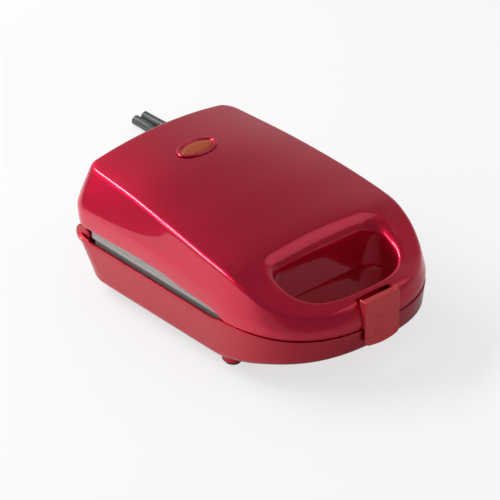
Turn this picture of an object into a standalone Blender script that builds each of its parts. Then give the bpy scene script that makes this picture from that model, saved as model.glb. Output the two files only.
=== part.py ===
"""A compact treat maker: two hinged shells with a cooking plate in each, closed by a front latch.

The front, with the latch, is at -Y and the hinge is at +Y. Lengths are metres, the floor is at z = 0, and the
origin is under the middle of the body.
"""

import math

import bmesh
import bpy
from mathutils import Matrix, Vector

# Overall sizes
BODY_WIDTH = 0.155
BODY_LENGTH = 0.2273
LATCH_REACH = 0.0040
SEAM_HEIGHT = 0.0400
LID_TOP = 0.0520
LID_CROWN = 0.0072
BASE_DEPTH = 0.0315

# Outline of the body, seen from above
FRONT_DEPTH = 0.0800
FRONT_EXPONENT = 2.42
CORNER_RADIUS = 0.0160
REAR_STEPS = 3
CORNER_STEPS = 4
SIDE_STEPS = 7
FRONT_STEPS = 10
PIN_SEGMENTS = 16
ROUND_SEGMENTS = 20
SMALL_SEGMENTS = 12
ROUND_EDGE_ANGLES = tuple(math.radians(turn) for turn in (0.0, 30.0, 60.0, 90.0))
SMOOTH_ANGLE = math.radians(38.0)

# Shells
WALL = 0.0022
SEAM_GAP = 0.0006
LID_CORNER_RADIUS = 0.0290
LID_FRONT_INSET = 0.0040
LID_REAR_INSET = 0.0060
LID_EDGE_RADIUS = 0.0026
LID_TUCK = 0.0008
LID_GAP_HEIGHT = 0.0094
LID_WIDEST_SHARE = 0.35
WALL_MIDDLE_SHARE = 0.55
LID_ROW_SHARES = (0.16, 0.34, 0.52, 0.70, 0.86)
BASE_ROW_SHARES = (0.25, 0.60)
BASE_RIM_DROP = 0.0021
BASE_DRAFT = 0.0015
BASE_REAR_LEAN = 0.0075
BASE_EDGE_RADIUS = 0.0050
BASE_CORNER_RADIUS = 0.0260

# Stations along the body, front to rear: share of the length, the lid's height, its crown and the half width
LID_STATION_SHARES = (
    (0.018, 0.312, 0.00, 0.942),
    (0.079, 0.325, 0.42, 0.942),
    (0.150, 0.423, 0.47, 0.942),
    (0.229, 0.577, 0.50, 0.942),
    (0.299, 0.679, 0.56, 0.942),
    (0.396, 0.737, 0.64, 0.938),
    (0.572, 0.815, 0.81, 0.911),
    (0.792, 0.862, 1.00, 0.857),
    (0.972, 0.846, 0.86, 0.798),
)
# Share of the length, and of the side gap's height, along the lid's lower edge
LID_EDGE_SHARES = (
    (0.0, 0.0),
    (0.312, 0.0),
    (0.340, 0.43),
    (0.480, 0.66),
    (0.625, 1.0),
    (0.911, 0.82),
    (1.0, 0.85),
)
# Share of the length, and of the rim's drop, along the base's upper edge
BASE_RIM_SHARES = ((0.0, 0.0), (0.318, 0.0), (0.332, 1.0), (1.0, 1.0))
# Share of the length, and of the base's depth, along its underside
BASE_DEPTH_SHARES = ((0.0, 0.52), (0.145, 0.70), (0.264, 0.90), (0.352, 1.0), (1.0, 1.0))

# Finger opening
OPENING_SIDE = 0.0315
OPENING_REAR = 0.0220
OPENING_LIP = 0.0140
OPENING_CORNER = 0.0100
OPENING_EXPONENT = 2.3
OPENING_STRAIGHT = 0.0340
OPENING_DRAFT = 0.0024
OPENING_REAR_FILLET = 0.0070
OPENING_FRONT_FILLET = 0.0030
BASE_OPENING_GROWTH = 0.0008

# Feet
FOOT_DIAMETER = 0.0150
FOOT_FRONT_INSET = 0.0155
FOOT_FRONT_Y = -0.0040
FOOT_REAR_INSET = 0.0195
FOOT_REAR_MARGIN = 0.0293
FOOT_PAD_DIAMETER = 0.0110
FOOT_PAD_HEIGHT = 0.0020

# Hinge
HINGE_INSET = 0.0105
HINGE_DROP = 0.0020
EAR_RADIUS = 0.0080
EAR_INSET = 0.0065
EAR_WIDTH = 0.0110
EAR_GUSSET = 0.0180
EAR_RIB = 0.0030
EAR_RIB_INSET = 0.0008
LUG_WIDTH = 0.0066
LUG_RADIUS = 0.0064
LUG_NECK = 0.0040
LUG_GAP = 0.0006
LUG_BLOCK_START = 0.0112
LUG_BLOCK_HEIGHT = 0.0130
LUG_NOTCH_DEPTH = 0.0058
LUG_START_ANGLE = math.radians(140.0)
LUG_END_ANGLE = math.radians(400.0)
LUG_STEPS = 14
HINGE_PIN_DIAMETER = 0.0040
BORE_CLEARANCE = 0.0003
HOOD_RADIUS = 0.0101
HOOD_END_GAP = 0.0012
HOOD_THICKNESS = 0.0018
HOOD_START_ANGLE = math.radians(-13.0)
HOOD_END_ANGLE = math.radians(72.0)
HOOD_STEPS = 6

# Latch
LATCH_WIDTH = 0.0300
LATCH_TOP = 0.0225
LATCH_FACE_REACH = 0.0030
LATCH_THICKNESS = 0.0020
LATCH_TOP_ROUND = 0.0018
LATCH_TOP_STEPS = 3
LATCH_TOP_HEIGHT = 0.0040
LATCH_TOP_BACK = 0.0022
LATCH_STRAIGHT = 0.0070
LATCH_LIP = 0.0130
LATCH_LIP_RISE = 0.0015
LATCH_HOOK_ROUND = 0.0010
LATCH_EDGE = 0.0004
# Share of the lip's height below the straight face, and of its forward flare
LATCH_LIP_SHARES = ((0.0, 0.0), (0.25, 0.32), (0.50, 0.76), (0.72, 1.0), (0.90, 0.80), (1.0, 0.0))
LATCH_STATION_SHARES = (0.0, 0.35, 0.70, 0.975, 1.0)
LATCH_RIB_COUNT = 4
LATCH_RIB_PITCH = 0.00424
LATCH_RIB_FIRST = 0.0072
LATCH_RIB_LENGTH = 0.0146
LATCH_RIB_HEIGHT = 0.00045
LATCH_RIB_WIDTH = 0.0014
LATCH_RIB_TOP_SHARE = 0.5
LATCH_PIVOT_INSET = 0.0018
LATCH_PIVOT_HEIGHT = 0.0062
LATCH_PIN_DIAMETER = 0.0030
LATCH_HUB_RADIUS = 0.0032
LATCH_HUB_STEPS = 8
LATCH_POCKET_GAP = 0.0007
LATCH_POCKET_DEPTH = 0.0119
LATCH_CHEEK = 0.0018
LATCH_CHEEK_HEIGHT = 0.0125
CATCH_WIDTH = 0.0160
CATCH_REACH = 0.0007
CATCH_TOP = 0.0035
CATCH_HEIGHT = 0.0035
CATCH_UNDERCUT_SHARE = 0.75

# Cooking plates
PLATE_SIDE_INSET = 0.0036
PLATE_REAR_INSET = 0.0208
PLATE_OPENING_MARGIN = 0.0050
PLATE_CORNER = 0.0140
PLATE_PARTING = 0.0045
PLATE_PARTING_GAP = 0.0003
PLATE_RIM_HEIGHT = 0.0030
PLATE_RIM_WIDTH = 0.0030
PLATE_FACE_DROP = 0.0012
PLATE_SKIRT_INSET = 0.0022
PLATE_SKIRT_WIDTH = 0.0020
PLATE_SKIRT_DEPTH = 0.0065
CUP_COLUMNS = 2
CUP_ROWS = 2
CUP_MARGIN = 0.0150
CUP_WEB = 0.0140
CUP_CORNER = 0.0090
CUP_CORNER_STEPS = 3
CUP_DEPTH = 0.0110
CUP_WALL = 0.0022
# Share of the cup's depth, and how far its wall leans in there as a share of the depth
CUP_WALL_SHARES = ((0.0, 0.0), (0.82, 0.18), (0.95, 0.26), (1.0, 0.42))

# Heating elements and heat shields
ELEMENT_DIAMETER = 0.0064
ELEMENT_GAP = 0.0006
ELEMENT_END = 0.0120
ELEMENT_BEND = 0.0120
ELEMENT_BEND_STEPS = 5
SHIELD_INSET = 0.0060
SHIELD_DEPTH = 0.0030
SHIELD_THICKNESS = 0.0008

# Inner frames round the finger opening
FRAME_THICKNESS = 0.0014
FRAME_INSET = 0.0034
FRAME_REAR_MARGIN = 0.0040
FRAME_GAP = 0.0004

# Indicator lamp
LAMP_REAR_INSET = 0.0439
OVAL_SEGMENTS = 24
BEZEL_HALF_LENGTH = 0.0155
BEZEL_HALF_WIDTH = 0.0095
BEZEL_HEIGHT = 0.0012
BEZEL_RIM = 0.0022
BEZEL_NECK = 0.0028
BEZEL_SINK = 0.0050
LENS_INSET = 0.0040
LENS_DOME = 0.0008
LENS_DEPTH = 0.0044
LENS_DOME_SHARES = ((0.4, 0.75), (0.8, 1.0))
LAMP_HOLDER_MARGIN = 0.0014
LAMP_HOLDER_WALL = 0.0014
LAMP_HOLDER_FLOOR = 0.0020
LAMP_BULB_DIAMETER = 0.0050
LAMP_BULB_LENGTH = 0.0120

# Electrical pieces in the base
THERMOSTAT_DIAMETER = 0.0150
THERMOSTAT_HEIGHT = 0.0070
FUSE_DIAMETER = 0.0050
FUSE_LENGTH = 0.0220
TERMINAL_SIZE = (0.0240, 0.0140, 0.0100)
BASE_SCREW_DIAMETER = 0.0060
BASE_SCREW_HEIGHT = 0.0016
BASE_BOSS_DIAMETER = 0.0085
BOSS_INSET = 0.0120
BOSS_SHIFT = 0.0160

# Vents under the base
VENT_COUNT = 7
VENT_PITCH = 0.0070
VENT_WIDTH = 0.0026
VENT_LENGTH = 0.0300
VENT_Y = 0.0650
VENT_ROUND_SHARE = 0.96
VENT_ROUND_STEPS = 3

# Strain relief, cord and plug
CORD_DIAMETER = 0.0072
CORD_LIFT = 0.0002
CORD_EXIT_INSET = 0.0275
CORD_EXIT_HEIGHT = 0.0172
RELIEF_ROOT_DIAMETER = 0.0098
RELIEF_TIP_DIAMETER = 0.0082
RELIEF_LENGTH = 0.0250
RELIEF_HEAD_DIAMETER = 0.0112
RELIEF_HEAD = 0.0024
RELIEF_HEAD_SINK = 0.0029
RELIEF_RIB_COUNT = 5
RELIEF_GROOVE = 0.0008
RELIEF_PLAIN_SHARE = 0.16
RELIEF_GROOVE_SHARES = ((0.0, 0.0), (0.12, 1.0), (0.38, 1.0), (0.50, 0.0))
PLUG_LENGTH = 0.0360
PLUG_WIDTH = 0.0220
PLUG_HEIGHT = 0.0160
PLUG_CORNER_STEPS = 3
PLUG_ROUND_SHARE = 0.96
# Share of the plug's length, of its width and height, and of its corner radius, from the cord to the blades
PLUG_SHARES = (
    (0.00, 0.44, 0.60, 0.60),
    (0.28, 0.46, 0.62, 0.60),
    (0.33, 0.72, 0.76, 0.72),
    (0.46, 1.00, 1.00, 0.80),
    (0.94, 1.00, 1.00, 0.80),
    (1.00, 0.92, 0.92, 0.72),
)
BLADE_LENGTH = 0.0160
BLADE_WIDTH = 0.0064
BLADE_THICKNESS = 0.0015
BLADE_SPACING = 0.0127

# Clearance kept where two separate pieces touch, and how far a cutter runs past what it cuts
TOUCH_GAP = 0.0003
CUT_OVERRUN = 0.0100
JOIN_DEPTH = 0.0008

# Places worked out from the sizes
REAR_Y = (BODY_LENGTH + LATCH_REACH) / 2
FRONT_Y = REAR_Y - BODY_LENGTH
CURVE_Y = FRONT_Y + FRONT_DEPTH
HALF_WIDTH = BODY_WIDTH / 2
SEAM_Z = SEAM_HEIGHT
OPENING_HALF_WIDTH = HALF_WIDTH - OPENING_SIDE
OPENING_FRONT = FRONT_DEPTH - OPENING_LIP
EAR_OUTER_X = HALF_WIDTH - EAR_INSET
PLATE_HALF_WIDTH = HALF_WIDTH - PLATE_SIDE_INSET
PLATE_FRONT_Y = CURVE_Y - OPENING_REAR + PLATE_OPENING_MARGIN
PLATE_REAR_Y = REAR_Y - PLATE_REAR_INSET
PLATE_MIDDLE_Y = (PLATE_FRONT_Y + PLATE_REAR_Y) / 2
CUP_SPANS = (PLATE_HALF_WIDTH * 2 - CUP_MARGIN * 2, PLATE_REAR_Y - PLATE_FRONT_Y - CUP_MARGIN * 2)
CUP_HALF_LENGTH = (CUP_SPANS[0] - CUP_WEB * (CUP_COLUMNS - 1)) / CUP_COLUMNS / 2
CUP_HALF_WIDTH = (CUP_SPANS[1] - CUP_WEB * (CUP_ROWS - 1)) / CUP_ROWS / 2
CORD_EXIT_X = HALF_WIDTH - CORD_EXIT_INSET
HINGE_Y = REAR_Y - HINGE_INSET
HINGE_Z = SEAM_Z - HINGE_DROP
LUG_OUTER_X = EAR_OUTER_X - EAR_WIDTH - LUG_GAP
LUG_INNER_X = LUG_OUTER_X - LUG_WIDTH
LATCH_PIVOT_Y = FRONT_Y + LATCH_PIVOT_INSET
LATCH_PIVOT_Z = SEAM_Z + LATCH_PIVOT_HEIGHT
LAMP_PLACE_Y = REAR_Y - LAMP_REAR_INSET
CORD_FLOOR = CORD_DIAMETER / 2 + CORD_LIFT

# The cord's route by hand: how far right of the exit, how far behind the body, and how high.
# Out of the strain relief, down to the floor and on to the coil
CORD_OUT_ROUTE = (
    (0.0000, 0.0189, 0.0172),
    (0.0000, 0.0263, 0.0172),
    (0.0002, 0.0333, 0.0165),
    (0.0010, 0.0413, 0.0140),
    (0.0032, 0.0504, 0.0098),
    (0.0070, 0.0593, 0.0062),
    (0.0120, 0.0678, 0.0043),
    (0.0178, 0.0759, 0.0038),
    (0.0238, 0.0834, 0.0038),
    (0.0298, 0.0908, 0.0038),
    (0.0350, 0.0988, 0.0038),
    (0.0386, 0.1079, 0.0038),
    (0.0397, 0.1179, 0.0038),
    (0.0395, 0.1283, 0.0038),
    (0.0391, 0.1404, 0.0038),
    (0.0388, 0.1544, 0.0038),
    (0.0388, 0.1713, 0.0038),
    (0.0388, 0.1863, 0.0038),
    (0.0388, 0.1948, 0.0038),
)
# From the coil's upper layer down to the floor, beside the first strand, and back to the plug
CORD_BACK_ROUTE = (
    (0.0860, 0.1605, 0.0118),
    (0.0788, 0.1582, 0.0118),
    (0.0674, 0.1545, 0.0102),
    (0.0592, 0.1504, 0.0074),
    (0.0529, 0.1436, 0.0049),
    (0.0491, 0.1352, 0.0039),
    (0.0480, 0.1260, 0.0038),
    (0.0481, 0.1174, 0.0038),
    (0.0485, 0.1084, 0.0038),
    (0.0489, 0.0983, 0.0040),
    (0.0492, 0.0893, 0.0052),
    (0.0494, 0.0819, 0.0072),
    (0.0495, 0.0748, 0.0083),
    (0.0495, 0.0673, 0.0083),
)
COIL_PLACE = (0.0803, 0.2024)
COIL_OUTER_RADIUS = 0.0415
COIL_TURNS = 2.70
COIL_STEP = 0.0079
COIL_LAYER = 0.0080
COIL_POINTS = 24
COIL_CROSSING_TURNS = 0.25
ROUTE_SPACING = 0.0160
ROUTE_FINE_STEPS = 12

# The pieces that turn with the lid
LID_PIECES = (
    "lid_shell",
    "lid_frame",
    "upper_plate",
    "upper_element",
    "upper_shield",
    "lamp_bezel",
    "lamp_lens",
    "lamp_holder",
    "neon_bulb",
    "latch_pin",
)

# Looks of the materials: colour, roughness, metallic
LOOKS = {
    "red_shell": ((0.42, 0.015, 0.035), 0.22, 0.6),
    "red_dark": ((0.30, 0.012, 0.028), 0.28, 0.5),
    "plate": ((0.16, 0.17, 0.17), 0.45, 0.3),
    "steel": ((0.62, 0.62, 0.60), 0.35, 1.0),
    "zinc": ((0.55, 0.55, 0.55), 0.40, 1.0),
    "black_plastic": ((0.03, 0.03, 0.03), 0.55, 0.0),
    "cream_plastic": ((0.75, 0.70, 0.60), 0.50, 0.0),
    "amber": ((0.75, 0.22, 0.05), 0.20, 0.0),
    "glass": ((0.85, 0.85, 0.85), 0.10, 0.0),
    "rubber": ((0.05, 0.05, 0.05), 0.80, 0.0),
    "cord": ((0.09, 0.10, 0.10), 0.55, 0.0),
    "brass": ((0.72, 0.55, 0.25), 0.35, 1.0),
}


def clear_scene():
    for item in list(bpy.data.objects):
        bpy.data.objects.remove(item, do_unlink=True)


def new_collection(name):
    group = bpy.data.collections.new(name)
    bpy.context.scene.collection.children.link(group)
    return group


clear_scene()
PARTS = new_collection("treat_maker")
CUTTERS = new_collection("cutters")


def give_material(item, look):
    colour, roughness, metallic = LOOKS[look]
    material = bpy.data.materials.new(item.name)
    material.use_nodes = True
    shader = material.node_tree.nodes["Principled BSDF"]
    shader.inputs["Base Color"].default_value = (*colour, 1.0)
    shader.inputs["Roughness"].default_value = roughness
    shader.inputs["Metallic"].default_value = metallic
    item.data.materials.clear()
    item.data.materials.append(material)


def finish_mesh(name, mesh, look=None):
    """Turns a bmesh into an object: a part if it has a look, and otherwise a hidden cutter or join piece."""
    bmesh.ops.recalc_face_normals(mesh, faces=mesh.faces)
    if mesh.calc_volume(signed=True) < 0:
        bmesh.ops.reverse_faces(mesh, faces=mesh.faces)
    data = bpy.data.meshes.new(name)
    mesh.to_mesh(data)
    mesh.free()
    data.shade_smooth()
    data.set_sharp_from_angle(angle=SMOOTH_ANGLE)
    item = bpy.data.objects.new(name, data)
    if look:
        PARTS.objects.link(item)
        give_material(item, look)
    else:
        CUTTERS.objects.link(item)
        item.hide_render = True
        item.display_type = "WIRE"
    return item


def boolean(item, other, operation):
    change = item.modifiers.new(other.name, "BOOLEAN")
    change.operation = operation
    change.object = other
    return item


def cut(item, other):
    return boolean(item, other, "DIFFERENCE")


def join(item, other):
    return boolean(item, other, "UNION")


def box(name, low, high, look=None):
    mesh = bmesh.new()
    bmesh.ops.create_cube(mesh, size=1.0)
    low, high = Vector(low), Vector(high)
    middle = (low + high) / 2
    span = high - low
    for vertex in mesh.verts:
        vertex.co = Vector([middle[k] + vertex.co[k] * span[k] for k in range(3)])
    return finish_mesh(name, mesh, look)


def cylinder(name, centre, radius, length, axis="Z", segments=ROUND_SEGMENTS, look=None):
    mesh = bmesh.new()
    bmesh.ops.create_cone(
        mesh, cap_ends=True, segments=segments, radius1=radius, radius2=radius, depth=length
    )
    turn = {"X": (2, 0, 1), "Y": (1, 2, 0), "Z": (0, 1, 2)}[axis]
    for vertex in mesh.verts:
        place = vertex.co.copy()
        vertex.co = Vector([centre[k] + place[turn[k]] for k in range(3)])
    return finish_mesh(name, mesh, look)


def turned(name, profile, centre, segments, look=None):
    """Turns (radius, distance) points that start and end on the axis, round a line along Y."""
    mesh = bmesh.new()
    points = [mesh.verts.new((radius, along, 0.0)) for radius, along in profile]
    edges = [mesh.edges.new(pair) for pair in zip(points, points[1:])]
    bmesh.ops.spin(
        mesh, geom=points + edges, axis=(0, 1, 0), cent=(0, 0, 0), angle=2 * math.pi, steps=segments,
        use_merge=True,
    )
    bmesh.ops.remove_doubles(mesh, verts=mesh.verts, dist=TOUCH_GAP / 10)
    bmesh.ops.translate(mesh, verts=mesh.verts, vec=centre)
    return finish_mesh(name, mesh, look)


def bridge(mesh, rings, close_rings, close_points):
    """Quads between successive rings of vertices."""
    ring_count, point_count = len(rings), len(rings[0])
    for k in range(ring_count if close_rings else ring_count - 1):
        first, second = rings[k], rings[(k + 1) % ring_count]
        for j in range(point_count if close_points else point_count - 1):
            after = (j + 1) % point_count
            mesh.faces.new((first[j], first[after], second[after], second[j]))


def prism(name, outline, low, high, axis="Z", look=None):
    """A closed outline pushed along an axis: (x, y) points along Z, or (y, z) points along X."""
    mesh = bmesh.new()
    caps = []
    for level in (low, high):
        place = (lambda a, b: (a, b, level)) if axis == "Z" else (lambda a, b: (level, a, b))
        caps.append([mesh.verts.new(place(a, b)) for a, b in outline])
    bridge(mesh, caps, False, True)
    for cap in caps:
        mesh.faces.new(cap)
    return finish_mesh(name, mesh, look)


def ring_solid(name, loops, look=None):
    """A closed ring-shaped solid through four or more loops of equal count."""
    mesh = bmesh.new()
    rings = [[mesh.verts.new(place) for place in loop] for loop in loops]
    bridge(mesh, rings, True, True)
    return finish_mesh(name, mesh, look)


def arc(centre, radius, start, end, steps):
    turn = (end - start) / steps
    return [
        (centre[0] + radius * math.cos(start + turn * k), centre[1] + radius * math.sin(start + turn * k))
        for k in range(steps + 1)
    ]


def rounded_outline(half_width, low, high, radius, steps=4):
    """A rounded rectangle between two y values, anticlockwise from its front right corner."""
    points = []
    corners = (
        (half_width - radius, low + radius, -0.5),
        (half_width - radius, high - radius, 0.0),
        (radius - half_width, high - radius, 0.5),
        (radius - half_width, low + radius, 1.0),
    )
    for x, y, turn in corners:
        points += arc((x, y), radius, turn * math.pi, (turn + 0.5) * math.pi, steps)
    return points


def read_table(table, column, share):
    """Smooth value at a share of the body's length, without overshoot between the table's rows."""
    places = [row[0] for row in table]
    values = [row[column] for row in table]
    if share <= places[0]:
        return values[0]
    if share >= places[-1]:
        return values[-1]
    k = max(j for j in range(len(places) - 1) if places[j] <= share)
    rates = [(values[j + 1] - values[j]) / (places[j + 1] - places[j]) for j in range(len(places) - 1)]

    def slope(j):
        if j == 0 or j == len(rates):
            return rates[min(j, len(rates) - 1)]
        before, after = rates[j - 1], rates[j]
        return 0.0 if before * after <= 0 else 2 * before * after / (before + after)

    span = places[k + 1] - places[k]
    t = (share - places[k]) / span
    return (
        values[k] * (1 + 2 * t) * (1 - t) ** 2
        + slope(k) * span * t * (1 - t) ** 2
        + values[k + 1] * t * t * (3 - 2 * t)
        + slope(k + 1) * span * t * t * (t - 1)
    )


def length_share(y):
    return (y - FRONT_Y) / BODY_LENGTH


def d_outline(half_width, front, straight_end, rear, corner, exponent):
    """A half outline with a straight rear, round corner, straight side and curved front, then its mirror."""
    half = [((half_width - corner) * k / REAR_STEPS, rear) for k in range(REAR_STEPS)]
    turned_arc = arc((half_width - corner, rear - corner), corner, math.pi / 2, 0.0, CORNER_STEPS)
    half += turned_arc[:-1]
    side_top = rear - corner
    half += [(half_width, side_top + (straight_end - side_top) * k / SIDE_STEPS) for k in range(SIDE_STEPS)]
    depth = straight_end - front
    for k in range(FRONT_STEPS + 1):
        angle = math.pi / 2 * k / FRONT_STEPS
        x = half_width * math.cos(angle) ** (2 / exponent) if k < FRONT_STEPS else 0.0
        half.append((x, straight_end - depth * math.sin(angle) ** (2 / exponent)))
    mirrored = [(-x, y) for x, y in half[1:-1]]
    return half[::-1] + mirrored


def body_outline(inset=0.0, front_inset=0.0, rear_inset=0.0, corner=CORNER_RADIUS):
    return d_outline(
        HALF_WIDTH - inset, FRONT_Y + front_inset, CURVE_Y, REAR_Y - rear_inset, corner, FRONT_EXPONENT
    )


def opening_outline(growth=0.0):
    return d_outline(
        OPENING_HALF_WIDTH + growth,
        CURVE_Y - OPENING_FRONT - growth,
        CURVE_Y - OPENING_STRAIGHT,
        CURVE_Y - OPENING_REAR + growth,
        OPENING_CORNER + growth,
        OPENING_EXPONENT,
    )


def crease_half_width(y):
    """Half width of the lid's upper edge at a place along the body."""
    width = HALF_WIDTH * read_table(LID_STATION_SHARES, 3, length_share(y))
    if y >= CURVE_Y:
        return width
    reach = min(1.0, (CURVE_Y - y) / (FRONT_DEPTH - LID_FRONT_INSET))
    return width * max(0.0, 1 - reach ** FRONT_EXPONENT) ** (1 / FRONT_EXPONENT)


def lid_top(x, y):
    """Height of the lid's crowned top surface."""
    share = length_share(y)
    edge = LID_TOP * read_table(LID_STATION_SHARES, 1, share)
    crown = LID_CROWN * read_table(LID_STATION_SHARES, 2, share)
    width = crease_half_width(y)
    across = min(1.0, abs(x) / width) if width > 0 else 1.0
    return SEAM_Z + edge + crown * (1 - across ** 2)


def lid_edge(y):
    return SEAM_Z + SEAM_GAP + (LID_GAP_HEIGHT - SEAM_GAP) * read_table(LID_EDGE_SHARES, 1, length_share(y))


def base_rim(y):
    return SEAM_Z - BASE_RIM_DROP * read_table(BASE_RIM_SHARES, 1, length_share(y))


def base_bottom(y):
    return SEAM_Z - BASE_DEPTH * read_table(BASE_DEPTH_SHARES, 1, length_share(y))


def blend(first, second, share):
    return first + (second - first) * share


def blend_points(first, second, share):
    return [tuple(blend(a, b, share) for a, b in zip(p, q)) for p, q in zip(first, second)]


def lid_crease():
    """The lid's upper edge: the body's outline, drawn in and tapered to the rear."""
    plain = body_outline(0.0, LID_FRONT_INSET, LID_REAR_INSET, LID_CORNER_RADIUS)
    points = []
    for x, y in plain:
        share = read_table(LID_STATION_SHARES, 3, length_share(y))
        points.append((x * share, y, lid_top(x * share, y)))
    return points


def rim_fillet(y):
    """Radius of the finger opening's rounded rim: wide at the rear, narrow at the front."""
    share = (y - (CURVE_Y - OPENING_FRONT)) / (OPENING_FRONT - OPENING_REAR)
    return blend(OPENING_FRONT_FILLET, OPENING_REAR_FILLET, min(1.0, max(0.0, share)))


def opening_rings():
    """The opening's wall and rim, from the seam up to the lid's top surface."""
    wide = opening_outline(OPENING_DRAFT)
    wall = opening_outline()
    grown = opening_outline(OPENING_REAR_FILLET)
    rings = [[(x, y, SEAM_Z + SEAM_GAP) for x, y in wide]]
    levels = []
    for (x, y), (far_x, far_y) in zip(wall, grown):
        fillet = rim_fillet(y)
        reach = fillet / OPENING_REAR_FILLET
        out = (blend(x, far_x, reach), blend(y, far_y, reach))
        levels.append(((x, y), out, fillet, lid_top(*out)))
    for angle in ROUND_EDGE_ANGLES:
        ring = []
        for start, out, fillet, top in levels:
            spread = 1 - math.cos(angle)
            rise = math.sin(angle)
            x, y = (blend(a, b, spread) for a, b in zip(start, out))
            ring.append((x, y, top - fillet + fillet * rise))
        rings.append(ring)
    return rings


def open_shell(name, rings, look):
    """A wall of even thickness behind the surface through the rings."""
    mesh = bmesh.new()
    loops = [[mesh.verts.new(place) for place in ring] for ring in rings]
    bridge(mesh, loops, False, True)
    data = bpy.data.meshes.new(name)
    mesh.to_mesh(data)
    mesh.free()
    data.shade_smooth()
    data.set_sharp_from_angle(angle=SMOOTH_ANGLE)
    item = bpy.data.objects.new(name, data)
    PARTS.objects.link(item)
    give_material(item, look)
    thick = item.modifiers.new("wall", "SOLIDIFY")
    thick.thickness = WALL
    thick.offset = -1.0
    thick.use_even_offset = True
    thick.use_quality_normals = True
    item.modifiers.new("flat_faces", "TRIANGULATE")
    return item


def make_lid_shell():
    crease = lid_crease()
    tucked = body_outline(LID_TUCK, LID_TUCK, LID_TUCK)
    lower = [(x, y, lid_edge(y)) for x, y in tucked]
    widest = []
    for (x, y), (_, _, top) in zip(body_outline(), crease):
        foot = lid_edge(y)
        widest.append((x, y, blend(foot, top, LID_WIDEST_SHARE)))
    below, round_edge, inside = [], [], []
    centre = Vector((0.0, CURVE_Y))
    for low, top in zip(widest, crease):
        low, top = Vector(low), Vector(top)
        wall = (low - top).normalized() * LID_EDGE_RADIUS
        inward = (centre - top.xy).normalized() * LID_EDGE_RADIUS
        inner = top.xy + inward
        inner = Vector((*inner, lid_top(*inner)))
        below.append(top + wall)
        round_edge.append((top * 2 + (top + wall) + inner) / 4)
        inside.append(inner)
    opening = opening_rings()
    rim = opening[-1]
    rings = [lower, widest, blend_points(widest, below, WALL_MIDDLE_SHARE), below, round_edge, inside]
    for share in LID_ROW_SHARES:
        ring = []
        for (x, y, _), (far_x, far_y, _) in zip(inside, rim):
            x, y = blend(x, far_x, share), blend(y, far_y, share)
            ring.append((x, y, lid_top(x, y)))
        rings.append(ring)
    rings += opening[::-1]
    return open_shell("lid_shell", rings, "red_shell")


def make_base_shell():
    growth = OPENING_DRAFT + BASE_OPENING_GROWTH
    rim_outline = opening_outline(growth)
    foot_outline = opening_outline(growth - OPENING_DRAFT / 2)
    rings = [[(x, y, SEAM_Z) for x, y in rim_outline]]
    rings.append([(x, y, base_bottom(y) + WALL) for x, y in foot_outline])
    rings.append([(x, y, base_bottom(y)) for x, y in opening_outline(growth + WALL)])
    inner = body_outline(
        BASE_DRAFT + BASE_EDGE_RADIUS,
        BASE_DRAFT + BASE_EDGE_RADIUS,
        BASE_REAR_LEAN + BASE_EDGE_RADIUS,
        BASE_CORNER_RADIUS - BASE_EDGE_RADIUS,
    )
    outer = body_outline(BASE_DRAFT, BASE_DRAFT, BASE_REAR_LEAN, BASE_CORNER_RADIUS)
    for share in BASE_ROW_SHARES:
        ring = []
        for (x, y, _), (far_x, far_y) in zip(rings[2], inner):
            x, y = blend(x, far_x, share), blend(y, far_y, share)
            ring.append((x, y, base_bottom(y)))
        rings.append(ring)
    for angle in ROUND_EDGE_ANGLES:
        ring = []
        for (x, y), (far_x, far_y) in zip(inner, outer):
            place = [blend(a, b, math.sin(angle)) for a, b in ((x, far_x), (y, far_y))]
            ring.append((*place, base_bottom(y) + BASE_EDGE_RADIUS * (1 - math.cos(angle))))
        rings.append(ring)
    rim = [(x, y, base_rim(y)) for x, y in body_outline()]
    rings.append(blend_points(rings[-1], rim, WALL_MIDDLE_SHARE))
    rings.append(rim)
    return open_shell("base_shell", rings, "red_shell")


def foot_places():
    front = HALF_WIDTH - FOOT_FRONT_INSET
    rear = HALF_WIDTH - FOOT_REAR_INSET
    return {
        "front_left": (-front, CURVE_Y + FOOT_FRONT_Y),
        "front_right": (front, CURVE_Y + FOOT_FRONT_Y),
        "rear_left": (-rear, REAR_Y - FOOT_REAR_MARGIN),
        "rear_right": (rear, REAR_Y - FOOT_REAR_MARGIN),
    }


def add_feet(base):
    for place, (x, y) in foot_places().items():
        low = FOOT_PAD_HEIGHT
        high = base_bottom(y) + JOIN_DEPTH
        centre = (x, y, (low + high) / 2)
        join(base, cylinder("foot_stub_" + place, centre, FOOT_DIAMETER / 2, high - low))
        pad_top = low - TOUCH_GAP
        centre = (x, y, pad_top / 2)
        cylinder("foot_pad_" + place, centre, FOOT_PAD_DIAMETER / 2, pad_top, look="rubber")


def rear_wall_y(z):
    """The outer face of the base's leaning rear wall at a height."""
    share = (SEAM_Z - BASE_RIM_DROP - z) / (BASE_DEPTH - BASE_EDGE_RADIUS - BASE_RIM_DROP)
    return REAR_Y - BASE_REAR_LEAN * min(1.0, max(0.0, share))


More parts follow.
